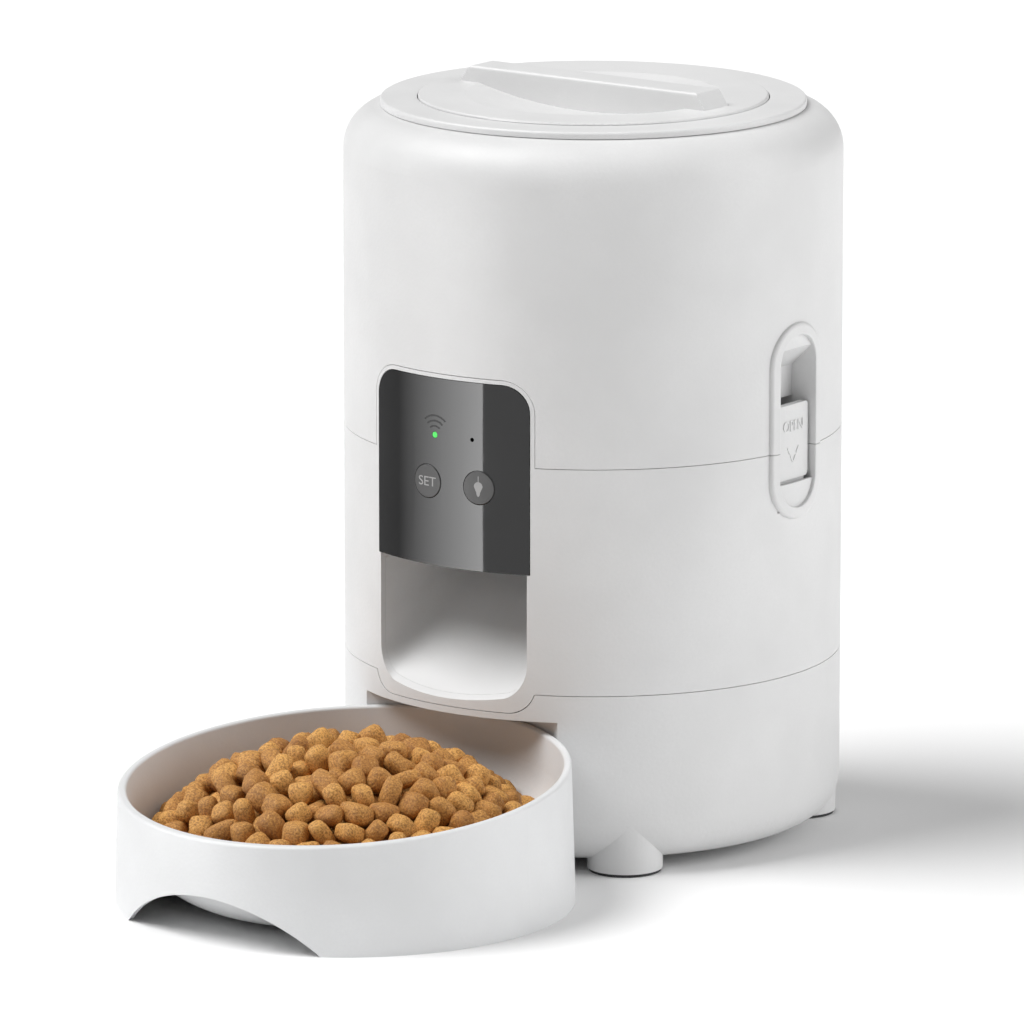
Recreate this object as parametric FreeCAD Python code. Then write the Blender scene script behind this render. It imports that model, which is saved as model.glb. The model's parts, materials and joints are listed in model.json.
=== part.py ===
import FreeCAD, Part
import math
import os

# Automatic pet feeder, millimetres. The tower's axis is the Z axis, the floor is z = 0, the front faces -Y.
V = FreeCAD.Vector

# Tower
body_radius = 95.0
shell_wall = 2.4
body_bottom = 4.8          # underside of the base above the floor
base_edge_round = 15.5
seam_low = 70.3            # base shell to mid housing
seam_high = 157.0          # mid housing to hopper shell
seam_gap = 0.25
top_height = 279.4         # flat of the shoulder
shoulder_round = 16.5
lip_clearance = 0.4        # round the hopper shell's locating lip
lip_depth = 5.0

# Lid
lid_radius = 81.0
lid_thickness = 2.6
lid_seat_gap = 0.1
knob_radius = 66.6
knob_gap = 0.4
knob_plate = 2.4
knob_rise = 1.0            # knob face above the lid plate
bar_half_width = 7.5
bar_half_length = 58.0
bar_rise = 6.3             # grip bar above the knob face
scoop_reach = 49.0         # finger hollows beside the bar
scoop_depth = 6.0
cup_wall = 1.6
cup_floor_drop = 14.0      # lid plate underside to the cup's floor underside
lock_arm_reach = 72.5
lock_arm_half_angle = 8.0
lock_arm_thickness = 3.0
lock_travel = 45.0
neck_radius = 69.8
neck_wall = 1.8
knob_shaft_radius = 4.9

# Hopper bin
bin_radius = 80.0
bin_wall = 1.8
bin_cone_top = 200.0
throat_radius = 59.6
throat_height = 12.0

# Control panel
panel_half_width = 35.5
panel_low = 116.0
panel_high = 188.0
panel_corner = 10.5
panel_thickness = 2.0
panel_gap = 0.2
panel_backing = 2.2
tab_margin = 1.5           # white border round the panel
button_radius = 6.4
button_gap = 0.2
button_travel = 0.8
button_height = 148.0
set_button_x = -7.4
feed_button_x = 15.7
light_x = -3.8
light_height = 166.1
light_radius = 1.1
mic_x = 13.0
mic_hole_radius = 0.8

# Control board
board_half_width = 30.0
board_low = 119.0
board_high = 184.0
board_front = -80.0
board_thickness = 1.6
board_post_x = 26.0
screw_radius = 1.4
screw_head_radius = 2.6
screw_head = 1.6

# Chute
chute_half_width = 34.3
chute_low = 65.6           # lip of the opening
chute_corner = 9.0
chute_slope = 35.0         # degrees
chute_wall = 2.0
chute_back = -30.5
eye_y = -46.0              # food sensors across the chute
eye_height = 106.0
eye_radius = 1.8
tongue_margin = 2.9        # housing below and beside the opening

# Bowl
bowl_reach = 155.8         # bowl axis in front of the tower's axis
bowl_radius = 85.9         # at the floor
bowl_rim_radius = 84.4
bowl_rim_height = 48.0     # at the bowl's axis
bowl_tilt = 5.5            # degrees, rim higher at the tower
bowl_wall = 2.8
bowl_inside_depth = 38.5
bowl_floor_round = 30.0
bowl_rim_round = 1.2
arch_half_width = 45.0
arch_height = 18.3
pocket_height = 60.0
pocket_clearance = 1.0
key_half_width = 12.0
key_low = 9.0
key_thickness = 5.0
key_length = 6.0
key_clearance = 0.5

# Feet
foot_radius = 14.3
foot_peg_radius = 3.0
foot_peg_height = 2.6
peg_clearance = 0.05
pad_thickness = 1.2
pad_inset = 0.7

# Side latches
latch_half_width = 16.0
latch_low = 130.4
latch_high = 205.7
latch_ring = 4.6
latch_ring_rise = 1.5
latch_ring_roll = 1.4      # rounding of the ring's outside
latch_ring_edge = 0.5      # rounding of its inside
latch_land_top = 144.3
latch_land_wall = 1.4
slider_half_width = 10.4
slider_low = 145.4
slider_high = 174.0
slider_plate = 2.8
slider_tail = 5.0          # hidden part of the slider behind the land
slider_inset = 1.8         # slider face behind the tower's surface
slider_clearance = 0.25    # round the slider's sides behind the land
latch_travel = 5.5
grip_depth = 10.4          # finger recess
grip_top = 196.0           # its ceiling at the tower's surface
grip_slope = 0.9           # rise of the ceiling towards the outside
slider_headroom = 0.8
well_depth = 19.0
well_wall = 2.0
bolt_half_width = 5.0
bolt_height = 6.0
bolt_centre = 164.0
bolt_reach = 5.0           # bolt tip beyond the keeper
bolt_pin_radius = 1.2
bolt_clearance = 0.3
fin_half_width = 1.5
fin_reach = 3.2            # fin beyond the bolt's pin

# Metering rotor
deck_height = 118.0        # deck plate's top face
deck_thickness = 2.5
drum_radius = 62.0
drum_wall = 2.0
drum_top = 150.0
rotor_radius = 58.6
rotor_hub_radius = 14.0
rotor_height = 22.4
rotor_gap = 0.8
paddle_count = 6
paddle_thickness = 2.4
outlet_inner = 33.0
outlet_half_angle = 32.0
guard_half_angle = 41.0
guard_thickness = 1.4
shaft_radius = 3.95
shaft_clearance = 0.05
bush_radius = 7.0
bush_flange_radius = 10.0

# Gear train
gear_module = 1.25
pinion_teeth = 10
idler_teeth = 30
idler_pinion_teeth = 10
drive_teeth = 34
gear_width = 4.6
pressure_angle = 25.0
gear_backlash = 0.25
centre_slack = 0.05
gear_case_floor = 95.0
gear_case_wall = 2.0
motor_radius = 12.0
motor_length = 30.0
motor_shaft_radius = 1.5

# Batteries
cell_radius = 7.1
cell_length = 50.4
cell_count = 4
cell_pitch = 15.0
bay_front = 5.0
bay_wall = 1.5
door_thickness = 2.4
door_travel = 6.5
door_gap = 0.3
door_lip = 1.6

# Power inlet and speaker at the back
inlet_height = 34.0
inlet_radius = 4.0
inlet_bore = 2.8
inlet_depth = 9.0
inlet_pin = 0.95
speaker_height = 118.0
speaker_radius = 17.0
speaker_depth = 7.0

front = -1.0               # Y direction the tower faces


def cylinder(radius, low, high, x=0.0, y=0.0):
    return Part.makeCylinder(radius, high - low, V(x, y, low))


def tube(outer, inner, low, high, x=0.0, y=0.0):
    return cylinder(outer, low, high, x, y).cut(cylinder(inner, low - 1, high + 1, x, y))


def along_x(radius, x0, x1, y, z):
    return Part.makeCylinder(radius, x1 - x0, V(x0, y, z), V(1, 0, 0))


def along_y(radius, y0, y1, x, z):
    return Part.makeCylinder(radius, y1 - y0, V(x, y0, z), V(0, 1, 0))


def block(x0, x1, y0, y1, z0, z1):
    return Part.makeBox(x1 - x0, y1 - y0, z1 - z0, V(x0, y0, z0))


def turned(points):
    """Solid of revolution about Z from (radius, height) points."""
    wire = Part.makePolygon([V(r, 0, z) for r, z in points] + [V(points[0][0], 0, points[0][1])])
    return Part.Face(wire).revolve(V(0, 0, 0), V(0, 0, 1), 360)


def one(shape):
    """The shape merged into its simplest solid."""
    return shape.removeSplitter()


def mirrored(shape):
    return shape.mirror(V(0, 0, 0), V(1, 0, 0))


def edges_at(shape, height, radius=None):
    """Edges that lie at one height, and on one circle about the axis if a radius is given."""
    found = []
    for edge in shape.Edges:
        box = edge.BoundBox
        if abs(box.ZMin - height) > 1e-3 or abs(box.ZMax - height) > 1e-3:
            continue
        if radius is None or abs(box.XMax - radius) < 1e-3:
            found.append(edge)
    return found


def front_prism(half_width, low, high, low_round=0.0, high_round=0.0, back=-55.0):
    """Block that runs in from the front, with rounded corners seen from the front."""
    shape = block(-half_width, half_width, -body_radius - 20, back, low, high)
    for height, radius in ((low, low_round), (high, high_round)):
        if radius > 0:
            lines = [e for e in edges_at(shape, height) if e.BoundBox.YLength > 1]
            shape = shape.makeFillet(radius, lines)
    return shape


def side_slot(half_width, low, high, x0, x1):
    """Upright slot with round ends, cut in from the +X side."""
    middle = block(x0, x1, -half_width, half_width, low + half_width, high - half_width)
    lower = along_x(half_width, x0, x1, 0, low + half_width)
    upper = along_x(half_width, x0, x1, 0, high - half_width)
    return middle.fuse([lower, upper])


def sector(inner, outer, low, high, half_angle, heading=-90.0):
    """Part of a ring, half_angle degrees either side of a heading measured from +X."""
    ring = Part.makeCylinder(outer, high - low, V(0, 0, low), V(0, 0, 1), 2 * half_angle)
    ring.rotate(V(0, 0, 0), V(0, 0, 1), heading - half_angle)
    return ring.cut(cylinder(inner, low - 1, high + 1)) if inner > 0 else ring


def polar(radius, heading):
    """Point on a circle; the heading is in degrees from the front, positive towards +X."""
    angle = math.radians(heading - 90.0)
    return radius * math.cos(angle), radius * math.sin(angle)


# Where things meet ---------------------------------------------------------------------------

inner_radius = body_radius - shell_wall
low_edge = seam_low - seam_gap / 2
mid_low = seam_low + seam_gap / 2
mid_high = seam_high - seam_gap / 2
hopper_low = seam_high + seam_gap / 2
tab_half_width = panel_half_width + tab_margin
tab_top = panel_high + tab_margin
tongue_half_width = chute_half_width + tongue_margin
tongue_low = chute_low - tongue_margin
floor_top = body_bottom + shell_wall
lid_low = top_height + lid_seat_gap
lid_high = lid_low + lid_thickness
knob_face = lid_high + knob_rise
cup_inner = knob_radius + knob_gap
plug_radius = cup_inner + cup_wall
cup_low = lid_low - cup_floor_drop
cup_floor = cup_low + 2.0
deck_low = deck_height - deck_thickness
drum_inner = drum_radius - drum_wall
foot_offset = body_radius - foot_radius
foot_headings = {"front_right": 45, "rear_right": 135, "rear_left": -135, "front_left": -45}
deck_headings = (62, 128, -128, -62)
deck_post_radius = 87.5


def base_outer():
    shape = cylinder(body_radius, body_bottom, low_edge)
    return shape.makeFillet(base_edge_round, edges_at(shape, body_bottom, body_radius))


def bowl_cone(grow, low, high):
    """The bowl's outer cone, grown outwards."""
    slope = (bowl_radius - bowl_rim_radius) / bowl_rim_height
    bottom = bowl_radius - slope * low + grow
    top = bowl_radius - slope * high + grow
    return Part.makeCone(bottom, top, high - low, V(0, front * bowl_reach, low))


def foot_place(name):
    return polar(foot_offset, foot_headings[name])


# Base ----------------------------------------------------------------------------------------

def bay_box(grow=0.0):
    """Space that the cells lie in."""
    half = cell_count * cell_pitch / 2 + grow
    back = bay_front + cell_length + 5.0
    return block(-half, half, bay_front - grow, back + grow, 0, floor_top + 2 * cell_radius + 1.4 + grow)


def door_outline(low, high, grow, extra=0.0):
    half = cell_count * cell_pitch / 2 + 2.0 + grow
    back = bay_front + cell_length + 7.0
    return block(-half, half, bay_front - 2.0 - grow, back + grow + extra, low, high)


def door_tabs(low, high, grow, shift):
    """Side tabs that hold the battery door up; grow widens them into their grooves."""
    half = cell_count * cell_pitch / 2 + 2.0
    tabs = []
    for start in (bay_front + 4.0, bay_front + 36.0):
        for side in (-1, 1):
            x0, x1 = sorted((side * (half - 0.5), side * (half + door_lip + grow)))
            tabs.append(block(x0, x1, start - grow + shift, start + 6.0 + grow + shift, low, high))
    return tabs


def base_shell():
    outer = base_outer()
    inner = cylinder(inner_radius, floor_top, low_edge + 1)
    inner = inner.makeFillet(base_edge_round - shell_wall, edges_at(inner, floor_top, inner_radius))
    shape = outer.cut(inner)
    pocket_wall = bowl_cone(pocket_clearance + shell_wall, -1, pocket_height + shell_wall)
    shape = shape.fuse(pocket_wall.common(outer))
    bay_pad = door_outline(floor_top - 0.5, floor_top + 1.2, 4.0, door_travel)
    shape = shape.fuse(bay_pad)
    posts = []
    for name in foot_headings:
        x, y = foot_place(name)
        posts.append(cylinder(foot_radius, pad_thickness, body_bottom + base_edge_round, x, y).cut(inner))
    tray_half = cell_count * cell_pitch / 2 + bay_wall
    for x in (-tray_half - 4.5, tray_half + 4.5):
        posts.append(cylinder(3.2, floor_top - 0.5, floor_top + 8.0, x, bay_front + 30))
    shape = shape.fuse(posts)
    cuts = [bowl_cone(pocket_clearance, -2, pocket_height)]
    cuts.append(front_prism(tongue_half_width + seam_gap, tongue_low - seam_gap, panel_low, chute_corner + 1.5))
    key_back = front * (bowl_reach - bowl_radius - key_length) + 3.0
    key_top = key_low + key_thickness + key_clearance
    key_x = key_half_width + key_clearance
    cuts.append(block(-key_x, key_x, key_back - 12, key_back, key_low - key_clearance, key_top))
    for name in foot_headings:
        x, y = foot_place(name)
        cuts.append(cylinder(foot_peg_radius + peg_clearance, 0, pad_thickness + foot_peg_height + 0.3, x, y))
    door_top = body_bottom + door_thickness + door_gap / 2
    cuts.append(door_outline(0, door_top, door_gap, door_travel))
    cuts.append(bay_box(-0.5).common(block(-99, 99, -99, 99, 0, floor_top + 2)))
    cuts += door_tabs(body_bottom + 1.1, door_top, door_gap, 0)
    cuts += door_tabs(0, door_top, door_gap, door_travel)
    cuts.append(along_y(inlet_radius + 0.15, inner_radius - 5, body_radius + 1, 0, inlet_height))
    return one(shape.cut(cuts))


def foot_pad(name):
    """Rubber pad with a peg that plugs into the foot."""
    x, y = foot_place(name)
    disc = cylinder(foot_radius - pad_inset, 0, pad_thickness, x, y)
    return one(disc.fuse(cylinder(foot_peg_radius, 0.5, pad_thickness + foot_peg_height, x, y)))


def battery_tray():
    half = cell_count * cell_pitch / 2
    back = bay_front + cell_length + 5.0
    low = floor_top + 1.2
    high = floor_top + 2 * cell_radius + 1.4 + bay_wall
    shape = block(-half - bay_wall, half + bay_wall, bay_front - bay_wall, back + bay_wall, low, high)
    ears = block(-half - 9, half + 9, bay_front + 26, bay_front + 34, floor_top + 8, floor_top + 10)
    shape = shape.fuse(ears).cut(bay_box())
    for x in (-half - bay_wall - 4.5, half + bay_wall + 4.5):
        shape = shape.cut(cylinder(screw_radius + 0.1, low, high, x, bay_front + 30))
    return one(shape)


def battery_cells():
    cells = []
    z = floor_top + cell_radius + 0.9
    for i in range(cell_count):
        x = (i - (cell_count - 1) / 2) * cell_pitch
        y0 = bay_front + 2.2
        can = along_y(cell_radius, y0, y0 + cell_length - 1.2, x, z)
        tip = y0 + cell_length - 1.2
        cells.append(one(can.fuse(along_y(2.6, tip - 0.5, tip + 1.2, x, z))))
    return Part.makeCompound(cells)


def battery_contacts():
    plates = []
    z = floor_top + cell_radius + 0.9
    back = bay_front + cell_length + 5.0
    for i in range(cell_count):
        x = (i - (cell_count - 1) / 2) * cell_pitch
        plate = block(x - 5, x + 5, bay_front + 0.05, bay_front + 0.45, z - 5, z + 5)
        dome = Part.makeCone(4.0, 1.6, 1.6, V(x, bay_front + 0.4, z), V(0, 1, 0))
        plates.append(one(plate.fuse(dome)))
        stud = block(x - 5, x + 5, back - 0.45, back - 0.05, z - 5, z + 5)
        spring = along_y(2.0, back - 2.7, back - 0.4, x, z)
        plates.append(one(stud.fuse(spring)))
    return Part.makeCompound(plates)


def battery_door():
    low = body_bottom
    high = body_bottom + door_thickness
    shape = door_outline(low, high, 0.0)
    shape = shape.fuse(door_tabs(body_bottom + 1.1 + door_gap, high, 0.0, 0))
    back = bay_front + cell_length
    grips = [block(-9, 9, back - 2 - 3 * i, back - 0.8 - 3 * i, low - 1, low + 0.6) for i in range(4)]
    return one(shape.cut(grips))


def power_inlet():
    mouth = body_radius - 0.3
    nose = along_y(inlet_radius, mouth - inlet_depth - 1, mouth, 0, inlet_height)
    back = block(-5.5, 5.5, mouth - inlet_depth - 6, inner_radius - 1.2, inlet_height - 5.5, inlet_height + 5.5)
    bore = along_y(inlet_bore, mouth - inlet_depth, mouth + 1, 0, inlet_height)
    pin = along_y(inlet_pin, mouth - inlet_depth - 1, mouth - 1, 0, inlet_height)
    return one(nose.fuse(back).cut(bore).fuse(pin))


# Mid housing ---------------------------------------------------------------------------------

def chute_void(grow=0.0):
    """The sloping space food slides down: flat floor, rounded corners, open at the front."""
    half = chute_half_width + grow
    length = 130.0
    shape = block(-half, half, -30, length, -grow, 70)
    lines = [e for e in edges_at(shape, -grow) if e.BoundBox.YLength > 1]
    shape = shape.makeFillet(chute_corner + grow, lines)
    shape.rotate(V(0, 0, 0), V(1, 0, 0), chute_slope)
    shape.translate(V(0, front * body_radius, chute_low))
    ceiling = panel_low if grow == 0 else deck_low - 0.2
    keep = block(-99, 99, -body_radius - 5, chute_back + grow, 0, ceiling)
    outlet = sector(outlet_inner, drum_inner - 3, 90, deck_height + 1, outlet_half_angle)
    if grow == 0:
        return shape.common(keep).fuse(outlet.common(shape))
    return shape.common(keep)


def latch_well(grow=0.0):
    """Space behind the latch, on the +X side: deep behind the slider, shallower at the finger grip."""
    half = latch_half_width - latch_ring + grow
    low = latch_low + latch_ring - 3.0 - grow
    high = latch_high - latch_ring + grow
    deep_back = body_radius - well_depth - grow
    grip_back = body_radius - grip_depth - grow
    outer = body_radius + 5 if grow == 0 else body_radius - 1.0
    grip = side_slot(half, low, high, grip_back, outer)

    def ceiling(x):
        return grip_top + grow + grip_slope * (x - body_radius)

    roof = Part.Face(Part.makePolygon([
        V(grip_back - 1, 0, ceiling(grip_back - 1)), V(grip_back - 1, 0, high + 2), V(outer + 1, 0, high + 2),
        V(outer + 1, 0, ceiling(outer + 1)), V(grip_back - 1, 0, ceiling(grip_back - 1))])).extrude(V(0, 60, 0))
    roof.translate(V(0, -30, 0))
    grip = grip.cut(roof)
    deep = block(deep_back, outer, -half, half, low + 2, slider_high + slider_headroom + grow)
    return grip.fuse(deep)


def latch_land():
    """Skin in front of the slider's tail, on the +X side."""
    skin = tube(body_radius, body_radius - latch_land_wall, latch_low, latch_land_top)
    return skin.common(side_slot(latch_half_width - 1, latch_low, latch_high, 70, 110))


def latch_bezel():
    ring = side_slot(latch_half_width, latch_low, latch_high, body_radius - 8, body_radius + 5)
    ring = ring.cut(side_slot(latch_half_width - latch_ring, latch_low + latch_ring, latch_high - latch_ring, 60, 110))
    ring = ring.common(tube(body_radius + latch_ring_rise, body_radius - 1.0, latch_low - 1, latch_high + 1))
    crest = edges_on_shell(ring, body_radius + latch_ring_rise)
    outside = [e for e in crest if half_reach(e) > latch_half_width - latch_ring / 2]
    ring = ring.makeFillet(latch_ring_roll, outside)
    crest = edges_on_shell(ring, body_radius + latch_ring_rise)
    inside = [e for e in crest if half_reach(e) < latch_half_width - latch_ring + 0.1]
    return ring.makeFillet(latch_ring_edge, inside)


def half_reach(edge):
    """Furthest the edge lies from the XZ plane."""
    return max(abs(edge.BoundBox.YMin), abs(edge.BoundBox.YMax))


def edges_on_shell(shape, radius):
    """Edges whose points all lie on a cylinder about the tower's axis."""
    found = []
    for edge in shape.Edges:
        points = edge.discretize(5)
        if all(abs(math.hypot(p.x, p.y) - radius) < 1e-3 for p in points):
            found.append(edge)
    return found


def with_latches(shape, low, high):
    """Adds both side latches' wells, lands and bezels to a shell between two heights."""
    slab = cylinder(body_radius + 10, low, high)
    walls = latch_well(well_wall).common(slab)
    space = latch_well().common(slab)
    land = latch_land().common(slab)
    bezel = latch_bezel().common(slab)
    for flip in (False, True):
        shape = shape.fuse(mirrored(walls) if flip else walls)
        shape = shape.cut(mirrored(space) if flip else space)
        front_pieces = [p for p in (land, bezel) if p.Solids]
        shape = shape.fuse([mirrored(p) if flip else p for p in front_pieces])
    return shape


def mid_housing():
    shape = tube(body_radius, inner_radius, mid_low, mid_high)
    tab = front_prism(tab_half_width, mid_high - 3, tab_top, 0, panel_corner + 1.5)
    shape = shape.fuse(tube(body_radius, inner_radius, mid_high - 2, tab_top + 1).common(tab))
    tongue = front_prism(tongue_half_width, tongue_low, panel_low, chute_corner + 1.5)
    shape = shape.fuse(tube(body_radius, inner_radius, tongue_low, mid_low + 1).common(tongue))
    backing_radius = body_radius - panel_thickness - 0.1
    backing = tube(backing_radius, backing_radius - panel_backing, panel_low - 2.2, tab_top)
    shape = shape.fuse(backing.common(front_prism(panel_half_width + 1.0, panel_low - 2.2, tab_top, 0, panel_corner)))
    posts = []
    for heading in deck_headings:
        x, y = polar(deck_post_radius, heading)
        posts.append(cylinder(5.2, 96, deck_low, x, y).common(cylinder(body_radius - 1, 90, 130)))
    for x in (-board_post_x, board_post_x):
        for z in (board_low + 4, board_high - 4):
            post = along_y(3.2, -90, board_front, x, z)
            posts.append(post.common(cylinder(body_radius - 3, 90, 200)))
    grille_ring = along_y(speaker_radius + 2.2, 84.5, 93, 0, speaker_height)
    grille_ring = grille_ring.cut(along_y(speaker_radius + 0.2, 80, 95, 0, speaker_height))
    posts.append(grille_ring.common(cylinder(body_radius - 1, 90, 200)))
    shape = shape.fuse(posts)
    shape = with_latches(shape, mid_low, mid_high)
    panel_seat = tube(body_radius + 1, backing_radius, panel_low - 1, panel_high + 5)
    cuts = [panel_seat.common(front_prism(panel_half_width, panel_low, panel_high, 0, panel_corner))]
    cuts.append(chute_void())
    for x in (set_button_x, feed_button_x):
        cuts.append(along_y(button_radius + button_gap, -99, -80, x, button_height))
    cuts.append(along_y(light_radius + 0.15, -99, -80, light_x, light_height))
    cuts.append(along_y(mic_hole_radius, -99, -80, mic_x, light_height))
    for heading in deck_headings:
        x, y = polar(deck_post_radius, heading)
        cuts.append(cylinder(screw_radius - 0.1, 104, deck_low + 1, x, y))
    for x in (-board_post_x, board_post_x):
        for z in (board_low + 4, board_high - 4):
            cuts.append(along_y(screw_radius - 0.1, -86, board_front + 1, x, z))
    for ring, count in ((0, 1), (5, 6), (10, 12)):
        for i in range(count):
            angle = 2 * math.pi * i / count
            x = ring * math.cos(angle)
            cuts.append(along_y(1.0, 80, 99, x, speaker_height + ring * math.sin(angle)))
    return one(shape.cut(cuts))


def chute():
    """Slide liner: three walls, a floor and a roof, all flush inside the housing's opening."""
    shape = chute_void(chute_wall)
    inside = chute_void()
    shape = shape.cut(inside)
    limit = cylinder(inner_radius - 0.1, 0, 200)
    backing_radius = body_radius - panel_thickness - 0.1 - panel_backing
    cuts = [tube(body_radius, backing_radius - 0.1, panel_low - 2.4, 200)]
    for side in (-1, 1):
        x0, x1 = sorted((side * (chute_half_width - 1), side * (chute_half_width + chute_wall + 1)))
        cuts.append(along_x(eye_radius + 0.1, x0, x1, eye_y, eye_height))
    return one(shape.common(limit).cut(cuts))


def chute_eye(side):
    """Light gate on the chute's side wall, its lens in the wall's hole."""
    face = side * (chute_half_width + chute_wall + 0.1)
    x0, x1 = sorted((face, face + side * 4.0))
    body = block(x0, x1, eye_y - 4, eye_y + 4, eye_height - 4, eye_height + 4)
    lens0, lens1 = sorted((side * (chute_half_width + 0.4), face + side * 0.5))
    return one(body.fuse(along_x(eye_radius, lens0, lens1, eye_y, eye_height)))


# Control panel -------------------------------------------------------------------------------

def control_panel():
    back = body_radius - panel_thickness
    prism = front_prism(panel_half_width - panel_gap, panel_low + 0.1, panel_high - panel_gap, 0, panel_corner)
    shape = tube(body_radius + 0.1, back, panel_low, panel_high).common(prism)
    cuts = [along_y(button_radius + button_gap, -99, -80, x, button_height) for x in (set_button_x, feed_button_x)]
    cuts.append(along_y(light_radius + 0.15, -99, -80, light_x, light_height))
    cuts.append(along_y(mic_hole_radius, -99, -80, mic_x, light_height))
    return one(shape.cut(cuts))


def push_button(x):
    """Round cap with a flange behind the housing wall and a stem towards its switch."""
    flange_front = -86.3
    cap = along_y(button_radius, -97, flange_front + 0.5, x, button_height)
    cap = cap.common(cylinder(body_radius + 0.35, 100, 200))
    crest = edges_on_shell(cap, body_radius + 0.35)
    cap = cap.makeFillet(0.3, crest)
    flange = along_y(button_radius + 1.2, flange_front, flange_front + 1.0, x, button_height)
    stem = along_y(2.2, flange_front, board_front - 4.3 - button_travel - 0.1, x, button_height)
    return one(cap.fuse([flange, stem]))


def light_pipe():
    pipe = along_y(light_radius, -97, board_front - 2.2, light_x, light_height)
    pipe = pipe.common(cylinder(body_radius + 0.1, 100, 200))
    led = block(light_x - 1.6, light_x + 1.6, board_front - 2.0, board_front, light_height - 1.6, light_height + 1.6)
    return pipe, led


def control_board():
    shape = block(-board_half_width, board_half_width, board_front, board_front + board_thickness, board_low, board_high)
    holes = []
    for x in (-board_post_x, board_post_x):
        for z in (board_low + 4, board_high - 4):
            holes.append(along_y(screw_radius + 0.1, board_front - 1, board_front + 3, x, z))
    shape = shape.cut(holes)
    chip = block(-12, -2, board_front + board_thickness, board_front + board_thickness + 1.2, 146, 156)
    plug = block(8, 22, board_front + board_thickness, board_front + board_thickness + 2.4, 122, 127)
    return one(shape.fuse([chip, plug, light_pipe()[1]]))


def tact_switches():
    switches = []
    for x in (set_button_x, feed_button_x):
        z = button_height
        body = block(x - 3, x + 3, board_front - 3.4, board_front, z - 3, z + 3)
        switches.append(one(body.fuse(along_y(1.7, board_front - 4.3, board_front - 3, x, z))))
    return Part.makeCompound(switches)


def radio_module():
    can = block(-9, 9, board_front - 2.6, board_front, 169, 182)
    return one(can.fuse(block(-9, 9, board_front - 1.0, board_front, 182, 183.5)))


def board_screws():
    screws = []
    back = board_front + board_thickness
    for x in (-board_post_x, board_post_x):
        for z in (board_low + 4, board_high - 4):
            head = along_y(screw_head_radius, back, back + screw_head, x, z)
            screws.append(one(head.fuse(along_y(screw_radius - 0.15, board_front - 5, back + 0.5, x, z))))
    return Part.makeCompound(screws)


# Hopper --------------------------------------------------------------------------------------

def hopper_shell():
    outer = cylinder(body_radius, hopper_low, top_height)
    outer = outer.makeFillet(shoulder_round, edges_at(outer, top_height, body_radius))
    inner = cylinder(inner_radius, hopper_low - 1, top_height - shell_wall)
    rounding = edges_at(inner, top_height - shell_wall, inner_radius)
    inner = inner.makeFillet(shoulder_round - shell_wall, rounding)
    shape = outer.cut(inner)
    lip_outer = inner_radius - lip_clearance
    lip = tube(lip_outer, lip_outer - 2.0, hopper_low - lip_depth, hopper_low + 3)
    collar = tube(inner_radius + 0.1, lip_outer - 2.0, hopper_low + 0.2, hopper_low + 3)
    lip = lip.fuse(collar)
    lip = lip.cut(front_prism(tab_half_width + 3, 100, tab_top + 10))
    for flip in (False, True):
        room = block(60, 110, -latch_half_width - 1, latch_half_width + 1, 100, hopper_low + 10)
        lip = lip.cut(mirrored(room) if flip else room)
    lip = lip.cut(block(-30, 30, 60, 100, 100, 200))
    shape = with_latches(shape, hopper_low, top_height)
    shape = shape.fuse(lip)
    cuts = [cylinder(neck_radius + neck_wall + 0.2, 260, top_height + 1)]
    notch = front_prism(tab_half_width + seam_gap, hopper_low - 5, tab_top + seam_gap, 0, panel_corner + 2)
    cuts.append(notch)
    cuts += lock_notches(0.3)
    for flip in (False, True):
        window = block(60, body_radius - well_depth + 1, -bolt_half_width - 0.6, bolt_half_width + 0.6,
                       bolt_centre - bolt_height / 2 - 0.8, bolt_centre + bolt_height / 2 + 0.8)
        cuts.append(mirrored(window) if flip else window)
    return one(shape.cut(cuts))


def lock_notches(grow=0.0):
    """Gaps in the neck that the lid's lock arms drop through."""
    notches = []
    for heading in (0, 180):
        reach = lock_arm_reach + 0.7 + grow
        notches.append(sector(60, reach, 269, top_height + 1, lock_arm_half_angle + 2.0, heading))
    return notches


def hopper_bin():
    """Food container: neck, straight wall, cone and throat in one turned wall."""
    r = bin_radius
    t = bin_wall
    roof = top_height - shell_wall - 0.3
    throat_low = drum_top - 3.5
    cone_low = throat_low + throat_height
    points = [(throat_radius, throat_low), (throat_radius, cone_low), (r, bin_cone_top), (r, roof)]
    points += [(neck_radius + neck_wall, roof), (neck_radius + neck_wall, top_height - 0.2)]
    points += [(neck_radius, top_height - 0.2), (neck_radius, roof - t), (r - t, roof - t)]
    points += [(r - t, bin_cone_top + 0.5), (throat_radius - t, cone_low + 0.5), (throat_radius - t, throat_low)]
    return one(turned(points).cut(lock_notches()))


def lid_plate():
    """Lid ring with the round cup that the turning knob sits in."""
    points = [(cup_inner, lid_high), (lid_radius, lid_high), (lid_radius, lid_low), (plug_radius, lid_low)]
    points += [(plug_radius, cup_low), (knob_shaft_radius + 0.06, cup_low), (knob_shaft_radius + 0.06, cup_floor)]
    points += [(cup_inner, cup_floor)]
    shape = turned(points)
    shape = shape.makeFillet(1.1, edges_at(shape, lid_high, lid_radius))
    groove = tube(plug_radius + 1, plug_radius - 0.8, lid_low - 3.9, lid_low - 1.3)
    windows = []
    low = lock_arm_low() - 0.5
    for heading in (0, 180):
        spread = lock_arm_half_angle + 1.5 + lock_travel / 2
        window = sector(cup_inner - 1, plug_radius + 1, low, low + lock_arm_thickness + 1.0,
                        spread, heading - lock_travel / 2)
        windows.append(window)
    return one(shape.cut([groove] + windows))


def lock_arm_low():
    return cup_floor + 2.0


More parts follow.
